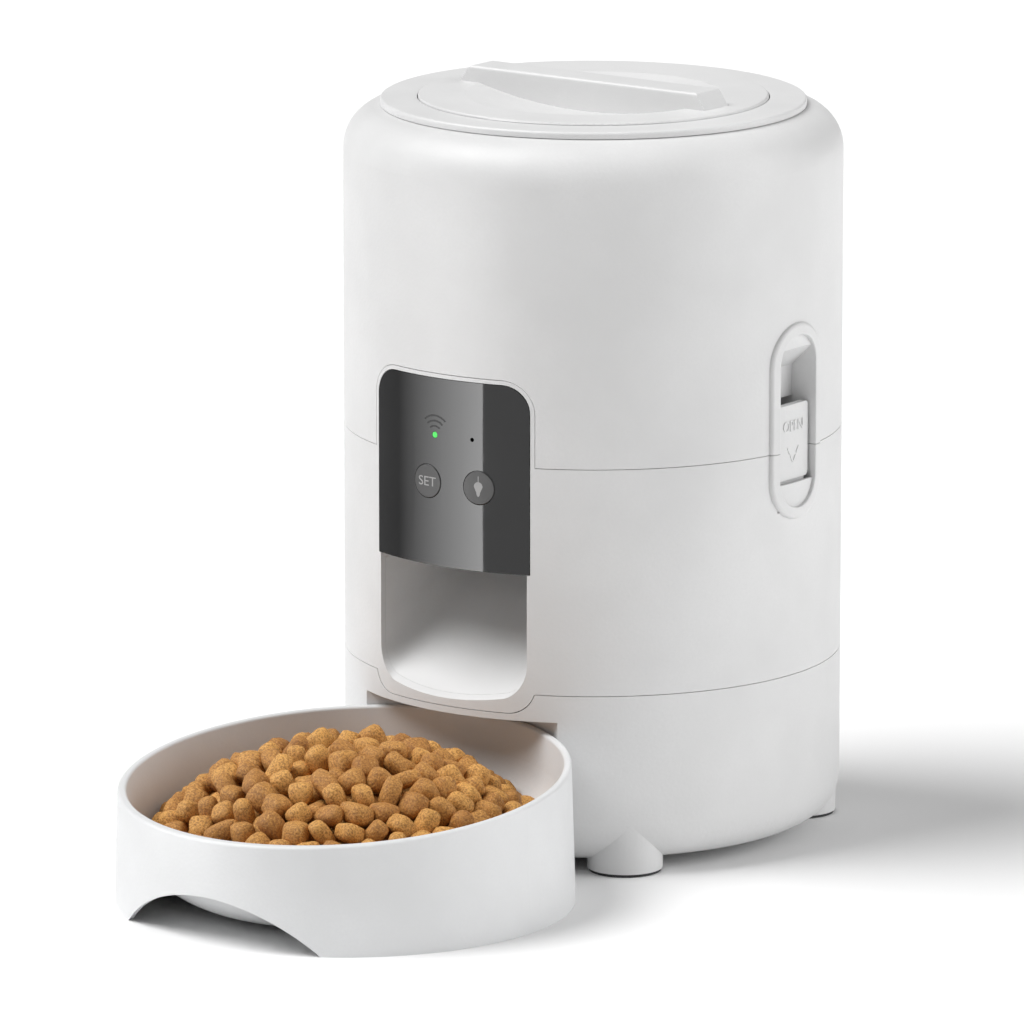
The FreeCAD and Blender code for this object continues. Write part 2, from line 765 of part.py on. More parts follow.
def lid_seal():
    inner = plug_radius - 0.75
    ring = tube(plug_radius + 0.1, inner, lid_low - 3.8, lid_low - 1.4)
    lip = tube(neck_radius - 0.25, inner + 0.3, lid_low - 3.0, lid_low - 2.2)
    return one(ring.fuse(lip))


def scoop(grow=0.0):
    """Shallow dish cut either side of the grip bar."""
    radius = (scoop_reach ** 2 + scoop_depth ** 2) / (2 * scoop_depth)
    ball = Part.makeSphere(radius + grow, V(0, 0, knob_face - scoop_depth + radius))
    ball = ball.common(cylinder(knob_radius - 2.5, knob_face - 20, knob_face + 1))
    return ball.cut(block(-99, 99, -bar_half_width + grow, bar_half_width - grow, 200, 400))


def lid_knob():
    """Turning disc with its grip bar, hub, shaft and two lock arms."""
    plate = cylinder(knob_radius, knob_face - knob_plate, knob_face)
    plate = plate.makeFillet(0.8, edges_at(plate, knob_face, knob_radius))
    bar_top = knob_face + bar_rise
    slope = 5.0
    side = Part.makePolygon([
        V(-bar_half_length, 0, knob_face - 1), V(-bar_half_length + slope, 0, bar_top),
        V(bar_half_length - slope, 0, bar_top), V(bar_half_length, 0, knob_face - 1),
        V(-bar_half_length, 0, knob_face - 1)])
    bar = Part.Face(side).extrude(V(0, 2 * bar_half_width, 0))
    bar.translate(V(0, -bar_half_width, 0))
    long_edges = [e for e in edges_at(bar, bar_top)]
    bar = bar.makeFillet(1.2, long_edges)
    root = block(-bar_half_length + 2, bar_half_length - 2, -bar_half_width, bar_half_width,
                 knob_face - scoop_depth - knob_plate, knob_face)
    root = root.common(cylinder(knob_radius - 2, 200, 400))
    ball_radius = (scoop_reach ** 2 + scoop_depth ** 2) / (2 * scoop_depth)
    dish = Part.makeSphere(ball_radius + knob_plate, V(0, 0, knob_face - scoop_depth + ball_radius))
    under = scoop(knob_plate).common(cylinder(knob_radius, 200, knob_face - 0.5))
    shape = plate.fuse([bar, root.common(dish), under])
    core_top = bar_top - knob_plate
    core = block(-bar_half_length + 8, bar_half_length - 8, -bar_half_width + 2, bar_half_width - 2,
                 knob_face - scoop_depth - knob_plate - 1, core_top)
    shape = shape.cut([scoop(), core])
    hub = cylinder(9.0, cup_floor + 0.3, knob_face - 1).cut(scoop())
    shaft = cylinder(knob_shaft_radius, cup_low - 1.2, cup_floor + 1)
    shape = shape.fuse([hub, shaft])
    low = lock_arm_low()
    for heading in (0, 180):
        shape = shape.fuse(sector(0, lock_arm_reach, low, low + lock_arm_thickness, lock_arm_half_angle, heading))
    pilot = cylinder(screw_radius - 0.1, cup_low - 2, cup_low + 9)
    return one(shape.cut(pilot))


def knob_retainer():
    washer = cylinder(9.0, cup_low - 2.8, cup_low - 1.2)
    skirt = tube(9.0, knob_shaft_radius + 0.5, cup_low - 1.3, cup_low - 0.2)
    head = cylinder(screw_head_radius, cup_low - 4.4, cup_low - 2.7)
    shank = cylinder(screw_radius - 0.15, cup_low - 3, cup_low + 7)
    return one(washer.fuse([skirt, head, shank]))


def desiccant_cup():
    ring = tube(34.0, 32.4, cup_low - 16, cup_low)
    ledge = tube(33.0, 30.6, cup_low - 16, cup_low - 14.6)
    return one(ring.fuse(ledge))


def desiccant_cover():
    plate = cylinder(30.4, cup_low - 16, cup_low - 14.4)
    rim = tube(32.2, 29.5, cup_low - 14.5, cup_low - 12)
    slots = []
    for i in range(-4, 5):
        half = math.sqrt(26.0 ** 2 - (5.5 * i) ** 2)
        slots.append(block(-half, half, 5.5 * i - 1.1, 5.5 * i + 1.1, cup_low - 17, cup_low - 14))
    return one(plate.fuse(rim).cut(slots))


def desiccant_pack():
    pack = cylinder(28.6, cup_low - 14.3, cup_low - 7.0)
    return pack.makeFillet(2.2, edges_at(pack, cup_low - 7.0) + edges_at(pack, cup_low - 14.3))


# Metering ------------------------------------------------------------------------------------

def deck_plate():
    shape = cylinder(inner_radius - 0.3, deck_low, deck_height)
    cuts = [block(-99, 99, -99, board_front + board_thickness + 1.6, 0, 400)]
    cuts.append(sector(outlet_inner, drum_inner - 3, 90, deck_height + 1, outlet_half_angle))
    cuts.append(cylinder(bush_radius + 0.05, 90, deck_height + 1))
    for heading in deck_headings:
        x, y = polar(deck_post_radius, heading)
        cuts.append(cylinder(screw_radius + 0.1, 90, 130, x, y))
    for flip in (False, True):
        room = block(70, 99, -latch_half_width - 2, latch_half_width + 2, 0, 400)
        cuts.append(mirrored(room) if flip else room)
    cuts.append(block(-24, 24, 77.5, 99, 0, 400))
    return one(shape.cut(cuts))


def deck_screws():
    screws = []
    for heading in deck_headings:
        x, y = polar(deck_post_radius, heading)
        head = cylinder(screw_head_radius, deck_height, deck_height + screw_head, x, y)
        screws.append(one(head.fuse(cylinder(screw_radius - 0.15, deck_height - 10, deck_height + 0.5, x, y))))
    return Part.makeCompound(screws)


def metering_drum():
    wall = tube(drum_radius, drum_inner, deck_height + 0.05, drum_top)
    flange = tube(drum_radius + 4, drum_inner, deck_height + 0.05, deck_height + 2)
    shape = wall.fuse(flange)
    return one(shape.cut(block(-99, 99, -99, board_front + 5, 0, 400)))


def portion_guard():
    """Sector that keeps the outlet from filling straight from the hopper."""
    low = deck_height + rotor_gap + rotor_height + rotor_gap
    plate = sector(rotor_hub_radius + 2, drum_inner - 0.1, low, low + guard_thickness, guard_half_angle)
    return one(plate)


def guard_wipers():
    low = deck_height + rotor_gap + rotor_height + rotor_gap + guard_thickness
    strips = []
    for side in (-1, 1):
        strip = block(rotor_hub_radius + 4, throat_radius - bin_wall - 1.5, -1.0, 1.0, low, low + 3.0)
        strip.rotate(V(0, 0, 0), V(0, 0, 1), -90 + side * (guard_half_angle - 2.5))
        strips.append(strip)
    return Part.makeCompound(strips)


def rotor_bush():
    shape = cylinder(bush_radius, deck_low - 0.6, deck_height)
    shape = shape.fuse(cylinder(bush_flange_radius, deck_low - 1.8, deck_low))
    return one(shape.cut(cylinder(shaft_radius + shaft_clearance, 90, 130)))


def paddle_rotor():
    low = deck_height + rotor_gap
    shape = cylinder(rotor_hub_radius, low, low + rotor_height)
    paddles = []
    for i in range(paddle_count):
        paddle = block(rotor_hub_radius - 2, rotor_radius, -paddle_thickness / 2, paddle_thickness / 2,
                       low, low + rotor_height)
        paddle.rotate(V(0, 0, 0), V(0, 0, 1), 360.0 * i / paddle_count)
        paddles.append(paddle)
    shape = shape.fuse(paddles)
    return one(shape.cut(cylinder(shaft_radius + 0.01, 90, 180)))


def stirrer():
    low = deck_height + 2 * rotor_gap + rotor_height + guard_thickness + 1.2
    shape = cylinder(7.0, low, low + 10)
    arms = []
    for i in range(3):
        arm = Part.makeCylinder(1.6, 38, V(4, 0, low + 7), V(math.cos(0.55), 0, math.sin(0.55)))
        arm.rotate(V(0, 0, 0), V(0, 0, 1), 120.0 * i)
        arms.append(arm)
    shape = shape.fuse(arms)
    return one(shape.cut(cylinder(shaft_radius + 0.01, 90, low + 8)))


def rotor_shaft():
    top = deck_height + 2 * rotor_gap + rotor_height + guard_thickness + 1.2 + 7.9
    return cylinder(shaft_radius, gear_case_floor + gear_case_wall + 0.4, top)


# Gear train ----------------------------------------------------------------------------------

def gear(teeth, low, width, phase, x=0.0, y=0.0):
    """Spur gear with involute teeth; phase is the heading of one tooth's centre in degrees from +X."""
    pitch = gear_module * teeth / 2
    alpha = math.radians(pressure_angle)
    base = pitch * math.cos(alpha)
    outer = pitch + 0.85 * gear_module
    root = pitch - 1.15 * gear_module
    half_pitch = math.pi / (2 * teeth) - gear_backlash / (4 * pitch)
    at_pitch = math.tan(alpha) - alpha

    def half_angle(radius):
        if radius <= base:
            return half_pitch + at_pitch
        turn = math.acos(base / radius)
        return half_pitch + at_pitch - (math.tan(turn) - turn)

    start = max(root, base)
    radii = [start + (outer - start) * i / 3 for i in range(4)]
    flank = [(root, half_angle(radii[0]))] if root < start else []
    flank += [(r, half_angle(r)) for r in radii]
    points = []
    for i in range(teeth):
        centre = math.radians(phase) + 2 * math.pi * i / teeth
        for r, a in flank:
            points.append(V(x + r * math.cos(centre - a), y + r * math.sin(centre - a), low))
        for r, a in reversed(flank):
            points.append(V(x + r * math.cos(centre + a), y + r * math.sin(centre + a), low))
    points.append(points[0])
    return Part.Face(Part.makePolygon(points)).extrude(V(0, 0, width))


idler_y = gear_module * (drive_teeth + idler_pinion_teeth) / 2 + centre_slack
motor_y = idler_y + gear_module * (idler_teeth + pinion_teeth) / 2 + centre_slack
lower_gear_low = gear_case_floor + gear_case_wall + 1.4
upper_gear_low = lower_gear_low + gear_width + 1.0


def drive_gear():
    shape = gear(drive_teeth, upper_gear_low, gear_width, 90)
    shape = shape.fuse(cylinder(8.0, upper_gear_low + gear_width - 0.5, deck_low - 2.4))
    holes = []
    for i in range(5):
        x, y = polar(13.5, 72.0 * i)
        holes.append(cylinder(3.4, 90, 120, x, y))
    holes.append(cylinder(shaft_radius + 0.01, 90, 120))
    return one(shape.cut(holes))


def idler_gear():
    upper = gear(idler_pinion_teeth, lower_gear_low + gear_width - 0.2, gear_width + 1.1,
                 -90 + 180.0 / idler_pinion_teeth, 0, idler_y)
    lower = gear(idler_teeth, lower_gear_low, gear_width, 90, 0, idler_y)
    web = cylinder(5.0, lower_gear_low + gear_width - 0.3, lower_gear_low + gear_width + 0.8, 0, idler_y)
    shape = lower.fuse([web, upper])
    return one(shape.cut(cylinder(2.05, 90, 120, 0, idler_y)))


def idler_axle():
    return cylinder(2.0, gear_case_floor + gear_case_wall + 0.05, deck_low - 0.05, 0, idler_y)


def motor_pinion():
    shape = gear(pinion_teeth, lower_gear_low, gear_width, -90 + 180.0 / pinion_teeth, 0, motor_y)
    return one(shape.cut(cylinder(motor_shaft_radius + 0.01, 90, 120, 0, motor_y)))


def motor_shaft():
    return cylinder(motor_shaft_radius, gear_case_floor - 8, lower_gear_low + gear_width, 0, motor_y)


def case_outline(grow, low, high):
    half = 24.0 + grow
    y0 = -24.4 - grow
    y1 = motor_y + 12.5 + grow
    shape = block(-half, half, y0, y1, low, high)
    upright = [e for e in shape.Edges if e.BoundBox.ZLength > 1]
    return shape.makeFillet(4.0 + grow, upright)


case_screws_at = [(sx * 30.0, y) for sx in (-1, 1) for y in (-8.0, 48.0)]


def gear_case():
    t = gear_case_wall
    shape = case_outline(t, gear_case_floor, deck_low - 0.05)
    shape = shape.cut(case_outline(0, gear_case_floor + t, deck_low + 1))
    ears = []
    for x, y in case_screws_at:
        ears.append(cylinder(4.2, deck_low - 4, deck_low - 0.05, x, y))
        ears.append(block(min(x, x * 0.8), max(x, x * 0.8), y - 3, y + 3, deck_low - 4, deck_low - 0.05))
    shape = shape.fuse(ears)
    shape = shape.fuse(tube(8.0, shaft_radius + shaft_clearance, gear_case_floor, gear_case_floor + t + 0.9))
    collar = tube(motor_radius + 1.6, motor_radius + 0.1, gear_case_floor - 6, gear_case_floor + 0.5, 0, motor_y)
    shape = shape.fuse(collar)
    cuts = [cylinder(2.6, 80, gear_case_floor + 3, 0, motor_y), cylinder(shaft_radius + shaft_clearance, 90, 120)]
    for x, y in case_screws_at:
        cuts.append(cylinder(screw_radius + 0.1, 90, 130, x, y))
    cuts.append(case_outline(0, gear_case_floor + t + 1, deck_low + 1))
    return one(shape.cut(cuts))


def gear_case_screws():
    screws = []
    for x, y in case_screws_at:
        head = cylinder(screw_head_radius, deck_low - 4 - screw_head, deck_low - 4, x, y)
        screws.append(one(head.fuse(cylinder(screw_radius - 0.15, deck_low - 4.5, deck_low - 0.1, x, y))))
    return Part.makeCompound(screws)


def drive_motor():
    top = gear_case_floor - 0.2
    can = cylinder(motor_radius, top - motor_length, top, 0, motor_y)
    can = can.makeFillet(1.5, edges_at(can, top - motor_length))
    cap = cylinder(4.0, top - motor_length - 2.5, top - motor_length + 1, 0, motor_y)
    tabs = [block(x - 1.5, x + 1.5, motor_y - 0.4, motor_y + 0.4, top - motor_length - 4, top - motor_length + 1)
            for x in (-8, 8)]
    bore = cylinder(motor_shaft_radius + 0.05, gear_case_floor - 8.2, top + 1, 0, motor_y)
    return one(can.fuse([cap] + tabs).cut(bore))


def speaker():
    y1 = 91.0
    frame = along_y(speaker_radius, y1 - speaker_depth, y1 - speaker_depth + 2.5, 0, speaker_height)
    cone = Part.makeCone(8.0, speaker_radius - 1.0, 3.0, V(0, y1 - speaker_depth + 2.4, speaker_height), V(0, 1, 0))
    magnet = along_y(9.0, y1 - speaker_depth - 5, y1 - speaker_depth + 0.5, 0, speaker_height)
    return one(frame.fuse([cone, magnet]))


def microphone():
    return along_y(3.0, board_front - 2.2, board_front, mic_x, light_height)


# Side latches --------------------------------------------------------------------------------

slider_face = body_radius - slider_inset
slider_back = slider_face - slider_plate
guide_back = body_radius - well_depth + 1.3
pin_x = guide_back + 5.5


def latch_slider():
    """OPEN slider: plate, tail behind the land, and a fin with the sloping slot that draws the bolt."""
    plate = block(slider_back, slider_face, -slider_half_width, slider_half_width, slider_low, slider_high)
    corners = [e for e in plate.Edges if e.BoundBox.XLength > 1 and e.BoundBox.YLength < 1e-3]
    plate = plate.makeFillet(2.0, corners)
    plate = plate.common(cylinder(body_radius - latch_land_wall - slider_clearance, 100, 200))
    tail_face = body_radius - latch_land_wall - 1.6
    tail = block(slider_back, tail_face, -slider_half_width + 1.5, slider_half_width - 1.5,
                 slider_low - slider_tail, slider_low + 4)
    bend = tail.common(cylinder(body_radius - latch_land_wall - 0.5, 100, 200))
    fin_low = slider_low + 1.0
    fin = block(pin_x - fin_reach, slider_back + 0.5, -fin_half_width, fin_half_width, fin_low, slider_high - 1.5)
    gap = bolt_pin_radius + bolt_clearance
    ends = []
    for step in (0.0, latch_travel):
        ends.append(along_y(gap, -3, 3, pin_x + step, bolt_centre + step))
    run = block(0, latch_travel * math.sqrt(2), -3, 3, -gap, gap)
    run.rotate(V(0, 0, 0), V(0, 1, 0), -45)
    run.translate(V(pin_x, 0, bolt_centre))
    shape = plate.fuse([bend, fin]).cut(ends + [run])
    seat = cylinder(2.0, fin_low - 0.6, fin_low + 0.5, pin_x + 4.0, 0)
    return one(shape.fuse(seat))


def latch_bolt():
    """Forked bolt that reaches through the keeper window; its cross pin rides in the slider's slot."""
    tip = body_radius - well_depth - well_wall - bolt_reach + 2.0
    low = bolt_centre - bolt_height / 2
    high = bolt_centre + bolt_height / 2
    body = block(tip, slider_back - 0.2 - latch_travel, -bolt_half_width, bolt_half_width, low, high)
    fork_back = pin_x - fin_reach - latch_travel - bolt_clearance
    fork = block(fork_back, pin_x + 9, -fin_half_width - 0.4, fin_half_width + 0.4, low - 1, high + 1)
    pin = along_y(bolt_pin_radius, -bolt_half_width, bolt_half_width, pin_x, bolt_centre)
    return one(body.cut(fork).fuse(pin))


def latch_guide():
    """Block behind the slider: channel for the bolt, slot for the fin, pocket for the spring."""
    high = bolt_centre + bolt_height / 2 + 3.0
    low = latch_low + latch_ring - 0.9
    shape = block(guide_back, slider_back - 0.4, -9.0, 9.0, low, high)
    bolt_low = bolt_centre - bolt_height / 2 - bolt_clearance
    bolt_room = block(guide_back - 1, slider_back, -bolt_half_width - bolt_clearance,
                      bolt_half_width + bolt_clearance, bolt_low, high - 3.0 + bolt_clearance)
    fin_low = slider_low + 1.0 - latch_travel - 0.9
    fin_room = block(guide_back + 0.3, slider_back + 1, -fin_half_width - 0.4, fin_half_width + 0.4, fin_low, high + 1)
    spring_room = cylinder(3.0, low + 1.6, slider_low + 12, pin_x + 4.0, 0)
    return one(shape.cut([bolt_room, fin_room, spring_room]))


def latch_spring():
    """Return spring drawn as the sleeve that its coils fill."""
    low = latch_low + latch_ring + 0.7
    return tube(2.6, 1.9, low + 0.05, slider_low + 0.35, pin_x + 4.0, 0)


# Bowl ----------------------------------------------------------------------------------------

def tilted(shape):
    """Moves a shape drawn about the Z axis, rim at z = 0, on to the bowl's tilted rim plane."""
    shape.rotate(V(0, 0, 0), V(1, 0, 0), bowl_tilt)
    shape.translate(V(0, front * bowl_reach, bowl_rim_height))
    return shape


def dish(grow=0.0):
    rim = bowl_rim_radius - bowl_wall + grow
    depth = bowl_inside_depth + grow
    inset = math.tan(math.radians(9.0)) * bowl_inside_depth
    points = [(0, 12), (rim, 12), (rim, 0), (rim - inset, -depth), (0, -depth)]
    shape = turned(points)
    low = edges_at(shape, -depth, rim - inset)
    return tilted(shape.makeFillet(bowl_floor_round + grow, low))


def bowl():
    """One moulding: sloping-rimmed skirt, dish, finger arch at the front and locating key at the back."""
    high = bowl_rim_height + 14
    skirt = bowl_cone(0, 0, high).cut(bowl_cone(-bowl_wall + 0.4, -1, high + 1))
    arch_radius = (arch_half_width ** 2 + arch_height ** 2) / (2 * arch_height)
    arch = along_y(arch_radius, front * bowl_reach - 110, front * bowl_reach - 40, 0, arch_height - arch_radius)
    skirt = skirt.cut(arch)
    shell = dish(bowl_wall).common(bowl_cone(0, 0.8, high))
    key_back = front * (bowl_reach - bowl_radius - key_length)
    key = block(-key_half_width, key_half_width, key_back - key_length - 3, key_back,
                key_low, key_low + key_thickness)
    key = key.cut(bowl_cone(-1.0, -1, high))
    shape = skirt.fuse([shell, key]).cut(dish())
    above = tilted(block(-200, 200, -200, 200, 0, 100))
    shape = one(shape.cut(above))
    normal = V(0, -math.sin(math.radians(bowl_tilt)), math.cos(math.radians(bowl_tilt)))
    rim = []
    for edge in shape.Edges:
        points = edge.discretize(6)
        heights = [(p - V(0, front * bowl_reach, bowl_rim_height)).dot(normal) for p in points]
        if max(abs(h) for h in heights) < 1e-3:
            rim.append(edge)
    return shape.makeFillet(bowl_rim_round, rim)


# Parts ---------------------------------------------------------------------------------------

parts = {
    "base_shell": base_shell,
    "battery_tray": battery_tray,
    "battery_cells": battery_cells,
    "battery_contacts": battery_contacts,
    "battery_door": battery_door,
    "power_inlet": power_inlet,
    "mid_housing": mid_housing,
    "chute": chute,
    "chute_emitter": lambda: chute_eye(-1),
    "chute_receiver": lambda: chute_eye(1),
    "control_panel": control_panel,
    "set_button": lambda: push_button(set_button_x),
    "feed_button": lambda: push_button(feed_button_x),
    "light_pipe": lambda: light_pipe()[0],
    "control_board": control_board,
    "tact_switches": tact_switches,
    "radio_module": radio_module,
    "microphone": microphone,
    "board_screws": board_screws,
    "speaker": speaker,
    "hopper_shell": hopper_shell,
    "hopper_bin": hopper_bin,
    "lid_plate": lid_plate,
    "lid_seal": lid_seal,
    "lid_knob": lid_knob,
    "knob_retainer": knob_retainer,
    "desiccant_cup": desiccant_cup,
    "desiccant_cover": desiccant_cover,
    "desiccant_pack": desiccant_pack,
    "deck_plate": deck_plate,
    "deck_screws": deck_screws,
    "metering_drum": metering_drum,
    "portion_guard": portion_guard,
    "guard_wipers": guard_wipers,
    "rotor_bush": rotor_bush,
    "paddle_rotor": paddle_rotor,
    "stirrer": stirrer,
    "rotor_shaft": rotor_shaft,
    "drive_gear": drive_gear,
    "idler_gear": idler_gear,
    "idler_axle": idler_axle,
    "motor_pinion": motor_pinion,
    "motor_shaft": motor_shaft,
    "gear_case": gear_case,
    "gear_case_screws": gear_case_screws,
    "drive_motor": drive_motor,
    "bowl": bowl,
}
for place in foot_headings:
    parts["foot_pad_" + place] = lambda place=place: foot_pad(place)
for name, make in (("slider", latch_slider), ("bolt", latch_bolt), ("guide", latch_guide), ("spring", latch_spring)):
    parts["latch_" + name + "_right"] = make
    parts["latch_" + name + "_left"] = lambda make=make: mirrored(make())

os.makedirs("parts", exist_ok=True)
for name, make in parts.items():
    solid = make()
    solid.exportStep("parts/" + name + ".step")
    print(name, len(solid.Solids), round(solid.Volume / 1000, 2), "cm3", "" if solid.isValid() else "INVALID")
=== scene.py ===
import json
import math

import bpy
import numpy as np
from mathutils import Matrix, Vector


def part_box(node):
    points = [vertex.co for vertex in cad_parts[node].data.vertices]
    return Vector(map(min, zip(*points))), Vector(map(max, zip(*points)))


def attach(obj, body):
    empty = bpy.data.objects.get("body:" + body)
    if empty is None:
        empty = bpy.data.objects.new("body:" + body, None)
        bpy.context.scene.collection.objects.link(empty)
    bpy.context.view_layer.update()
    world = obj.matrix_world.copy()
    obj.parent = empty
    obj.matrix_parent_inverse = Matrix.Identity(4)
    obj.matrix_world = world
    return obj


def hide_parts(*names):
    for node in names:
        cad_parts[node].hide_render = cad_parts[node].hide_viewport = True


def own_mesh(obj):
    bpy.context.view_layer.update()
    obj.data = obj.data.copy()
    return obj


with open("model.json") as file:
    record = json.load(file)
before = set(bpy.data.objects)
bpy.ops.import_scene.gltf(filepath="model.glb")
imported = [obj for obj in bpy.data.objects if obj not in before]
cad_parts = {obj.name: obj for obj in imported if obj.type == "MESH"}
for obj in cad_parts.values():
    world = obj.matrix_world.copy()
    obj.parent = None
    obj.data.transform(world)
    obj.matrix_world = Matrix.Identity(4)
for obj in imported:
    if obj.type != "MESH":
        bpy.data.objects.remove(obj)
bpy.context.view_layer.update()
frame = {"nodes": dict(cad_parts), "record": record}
cad = frame["nodes"]
bpy.ops.object.select_all(action="DESELECT")
print("frame loaded:", len(cad), "nodes")


# Shader writing

class Wire:  # a socket that can be used in sums
    def __init__(self, recipe, socket):
        self.recipe = recipe
        self.socket = socket

    def maths(self, operation, first, second):
        return self.recipe.node("Math", {"operation": operation}, {0: first, 1: second})

    def __add__(self, other):
        return self.maths("ADD", self, other)

    def __radd__(self, other):
        return self.maths("ADD", other, self)

    def __sub__(self, other):
        return self.maths("SUBTRACT", self, other)

    def __mul__(self, other):
        return self.maths("MULTIPLY", self, other)

    def __pow__(self, other):
        return self.maths("POWER", self, other)

    def __gt__(self, other):
        return self.maths("GREATER_THAN", self, other)

    def __lt__(self, other):
        return self.maths("LESS_THAN", self, other)


class Recipe:  # one material being written
    def __init__(self, name):
        self.material = bpy.data.materials.new(name)
        self.material.use_nodes = True
        self.tree = self.material.node_tree
        self.tree.nodes.clear()

    def node(self, kind, settings=None, sockets=None, out=0):
        made = self.tree.nodes.new("ShaderNode" + kind)
        for key, value in (settings or {}).items():
            if key == "stops":
                self.setStops(made.color_ramp, value)
            else:
                setattr(made, key, value)
        for key, value in (sockets or {}).items():
            if isinstance(value, Wire):
                self.tree.links.new(value.socket, made.inputs[key])
            else:
                made.inputs[key].default_value = value
        return Wire(self, made.outputs[out]) if made.outputs else made

    def setStops(self, ramp, stops):
        while len(ramp.elements) < len(stops):
            ramp.elements.new(0.5)
        for element, (place, tone) in zip(ramp.elements, stops):
            element.position = place
            element.color = (tone, tone, tone, 1)

    def place(self):
        return self.node("TexCoord", out="Object")

    def noise(self, pitch, detail=2.0, rough=0.5, offset=0.0, vector=None):
        vector = vector or self.place()
        if offset:
            vector = self.node("VectorMath", {"operation": "ADD"}, {0: vector, 1: (offset, offset, offset)})
        sockets = {"Vector": vector, "Scale": 1 / pitch, "Detail": detail, "Roughness": rough}
        return self.node("TexNoise", None, sockets)

    def cells(self, pitch, feature="F1"):
        sockets = {"Vector": self.place(), "Scale": 1 / pitch}
        return self.node("TexVoronoi", {"feature": feature}, sockets)

    def ramp(self, value, *stops):
        return self.node("ValToRGB", {"stops": stops}, {0: value})

    def mix(self, factor, first, second, blend="MIX"):
        settings = {"data_type": "RGBA", "blend_type": blend}
        return self.node("Mix", settings, {0: factor, 6: first, 7: second}, 2)

    def bump(self, height, distance):
        return self.node("Bump", None, {"Height": height, "Distance": distance, "Strength": 1.0})

    def finish(self, **sockets):
        named = {}
        for key, value in sockets.items():  # baseColor is written to the socket Base Color
            named[key[0].upper() + "".join(" " + c if c.isupper() else c for c in key[1:])] = value
        surface = self.node("BsdfPrincipled", None, named)
        self.node("OutputMaterial", None, {"Surface": surface})
        return self.material


def colour(red, green, blue):
    return (red, green, blue, 1)


def mouldedPlastic(name, tint, grain, depth, rough, dust=0.05, glow=0.0):
    make = Recipe(name)
    skin = make.noise(grain, 3.0, 0.6)
    pits = make.cells(grain * 1.7)
    cloud = make.noise(0.055, 3.0, 0.55, 3.1)
    rub = make.noise(0.011, 4.0, 0.7, 7.7)
    scuff = make.ramp(make.noise(0.0032, 5.0, 0.75, 1.9), (0.60, 0.0), (0.78, 1.0))
    darker = colour(*[c * (1 - dust) for c in tint])
    lighter = colour(*[min(1, c * (1 + dust * 0.5)) for c in tint])
    base = make.mix(make.ramp(cloud, (0.35, 0.0), (0.65, 1.0)), darker, lighter)
    base = make.mix(make.ramp(skin, (0.3, 0.0), (0.7, 1.0)) * 0.35, base, darker)
    roughness = rough + (rub - 0.5) * 0.16 + (skin - 0.5) * 0.12 + scuff * 0.05
    height = skin * 0.7 + pits * 0.5 + scuff * 0.25
    normal = make.bump(height, depth)
    sockets = {"baseColor": base, "roughness": roughness, "normal": normal}
    if glow:
        sockets["emissionColor"] = colour(*tint)
        sockets["emissionStrength"] = glow
    return make.finish(**sockets)


def polishedPanel(name):
    make = Recipe(name)
    haze = make.noise(0.009, 4.0, 0.65)
    specks = make.ramp(make.cells(0.0021), (0.0, 1.0), (0.07, 0.0))
    smear = make.noise(0.03, 3.0, 0.6, 5.0)
    smeared = make.ramp(smear, (0.35, 0.0), (0.7, 1.0))
    base = make.mix(smeared, colour(0.009, 0.009, 0.0095), colour(0.013, 0.013, 0.0135))
    base = make.mix(specks * 0.2, base, colour(0.04, 0.04, 0.04))
    roughness = 0.045 + make.ramp(haze, (0.45, 0.0), (0.8, 1.0)) * 0.05 + specks * 0.2
    wave = make.bump(make.noise(0.02, 1.0, 0.4, 2.0), 0.00002)
    return make.finish(baseColor=base, roughness=roughness, normal=wave)


def metal(name, tint, rough, streak=(1.0, 1.0, 1.0), depth=0.00002):
    make = Recipe(name)
    stretched = make.node("VectorMath", {"operation": "MULTIPLY"}, {0: make.place(), 1: streak})
    lines = make.noise(0.0009, 3.0, 0.6, vector=stretched)
    stain = make.noise(0.007, 4.0, 0.6, 4.0)
    worn = make.ramp(stain, (0.45, 0.0), (0.75, 1.0))
    base = make.mix(worn * 0.5, colour(*tint), colour(*[c * 0.62 for c in tint]))
    roughness = rough + (lines - 0.5) * 0.18 + worn * 0.14
    normal = make.bump(lines, depth)
    return make.finish(baseColor=base, roughness=roughness, metallic=1.0, normal=normal)


def softRubber(name, tint, rough, depth):
    make = Recipe(name)
    skin = make.noise(0.0006, 4.0, 0.65)
    bloom = make.ramp(make.noise(0.006, 4.0, 0.6, 2.0), (0.4, 0.0), (0.75, 1.0))
    base = make.mix(bloom * 0.5, colour(*tint), colour(*[min(1, c * 1.5 + 0.02) for c in tint]))
    roughness = rough + (skin - 0.5) * 0.2 + bloom * 0.08
    return make.finish(baseColor=base, roughness=roughness, normal=make.bump(skin, depth))


def circuitBoard(name):
    make = Recipe(name)
    spot = make.cells(0.0042)
    track = make.ramp(make.cells(0.0026, "DISTANCE_TO_EDGE"), (0.03, 1.0), (0.07, 0.0))
    pads = make.ramp(spot, (0.10, 1.0), (0.16, 0.0))
    mask = make.mix(track * 0.6, colour(0.012, 0.11, 0.045), colour(0.03, 0.22, 0.09))
    base = make.mix(pads, mask, colour(0.62, 0.6, 0.55))
    weave = make.noise(0.0007, 3.0)
    height = track * 0.4 + pads + weave * 0.2
    roughness = 0.36 + (weave - 0.5) * 0.2
    normal = make.bump(height, 0.00003)
    return make.finish(baseColor=base, roughness=roughness, metallic=pads * 0.7, normal=normal)


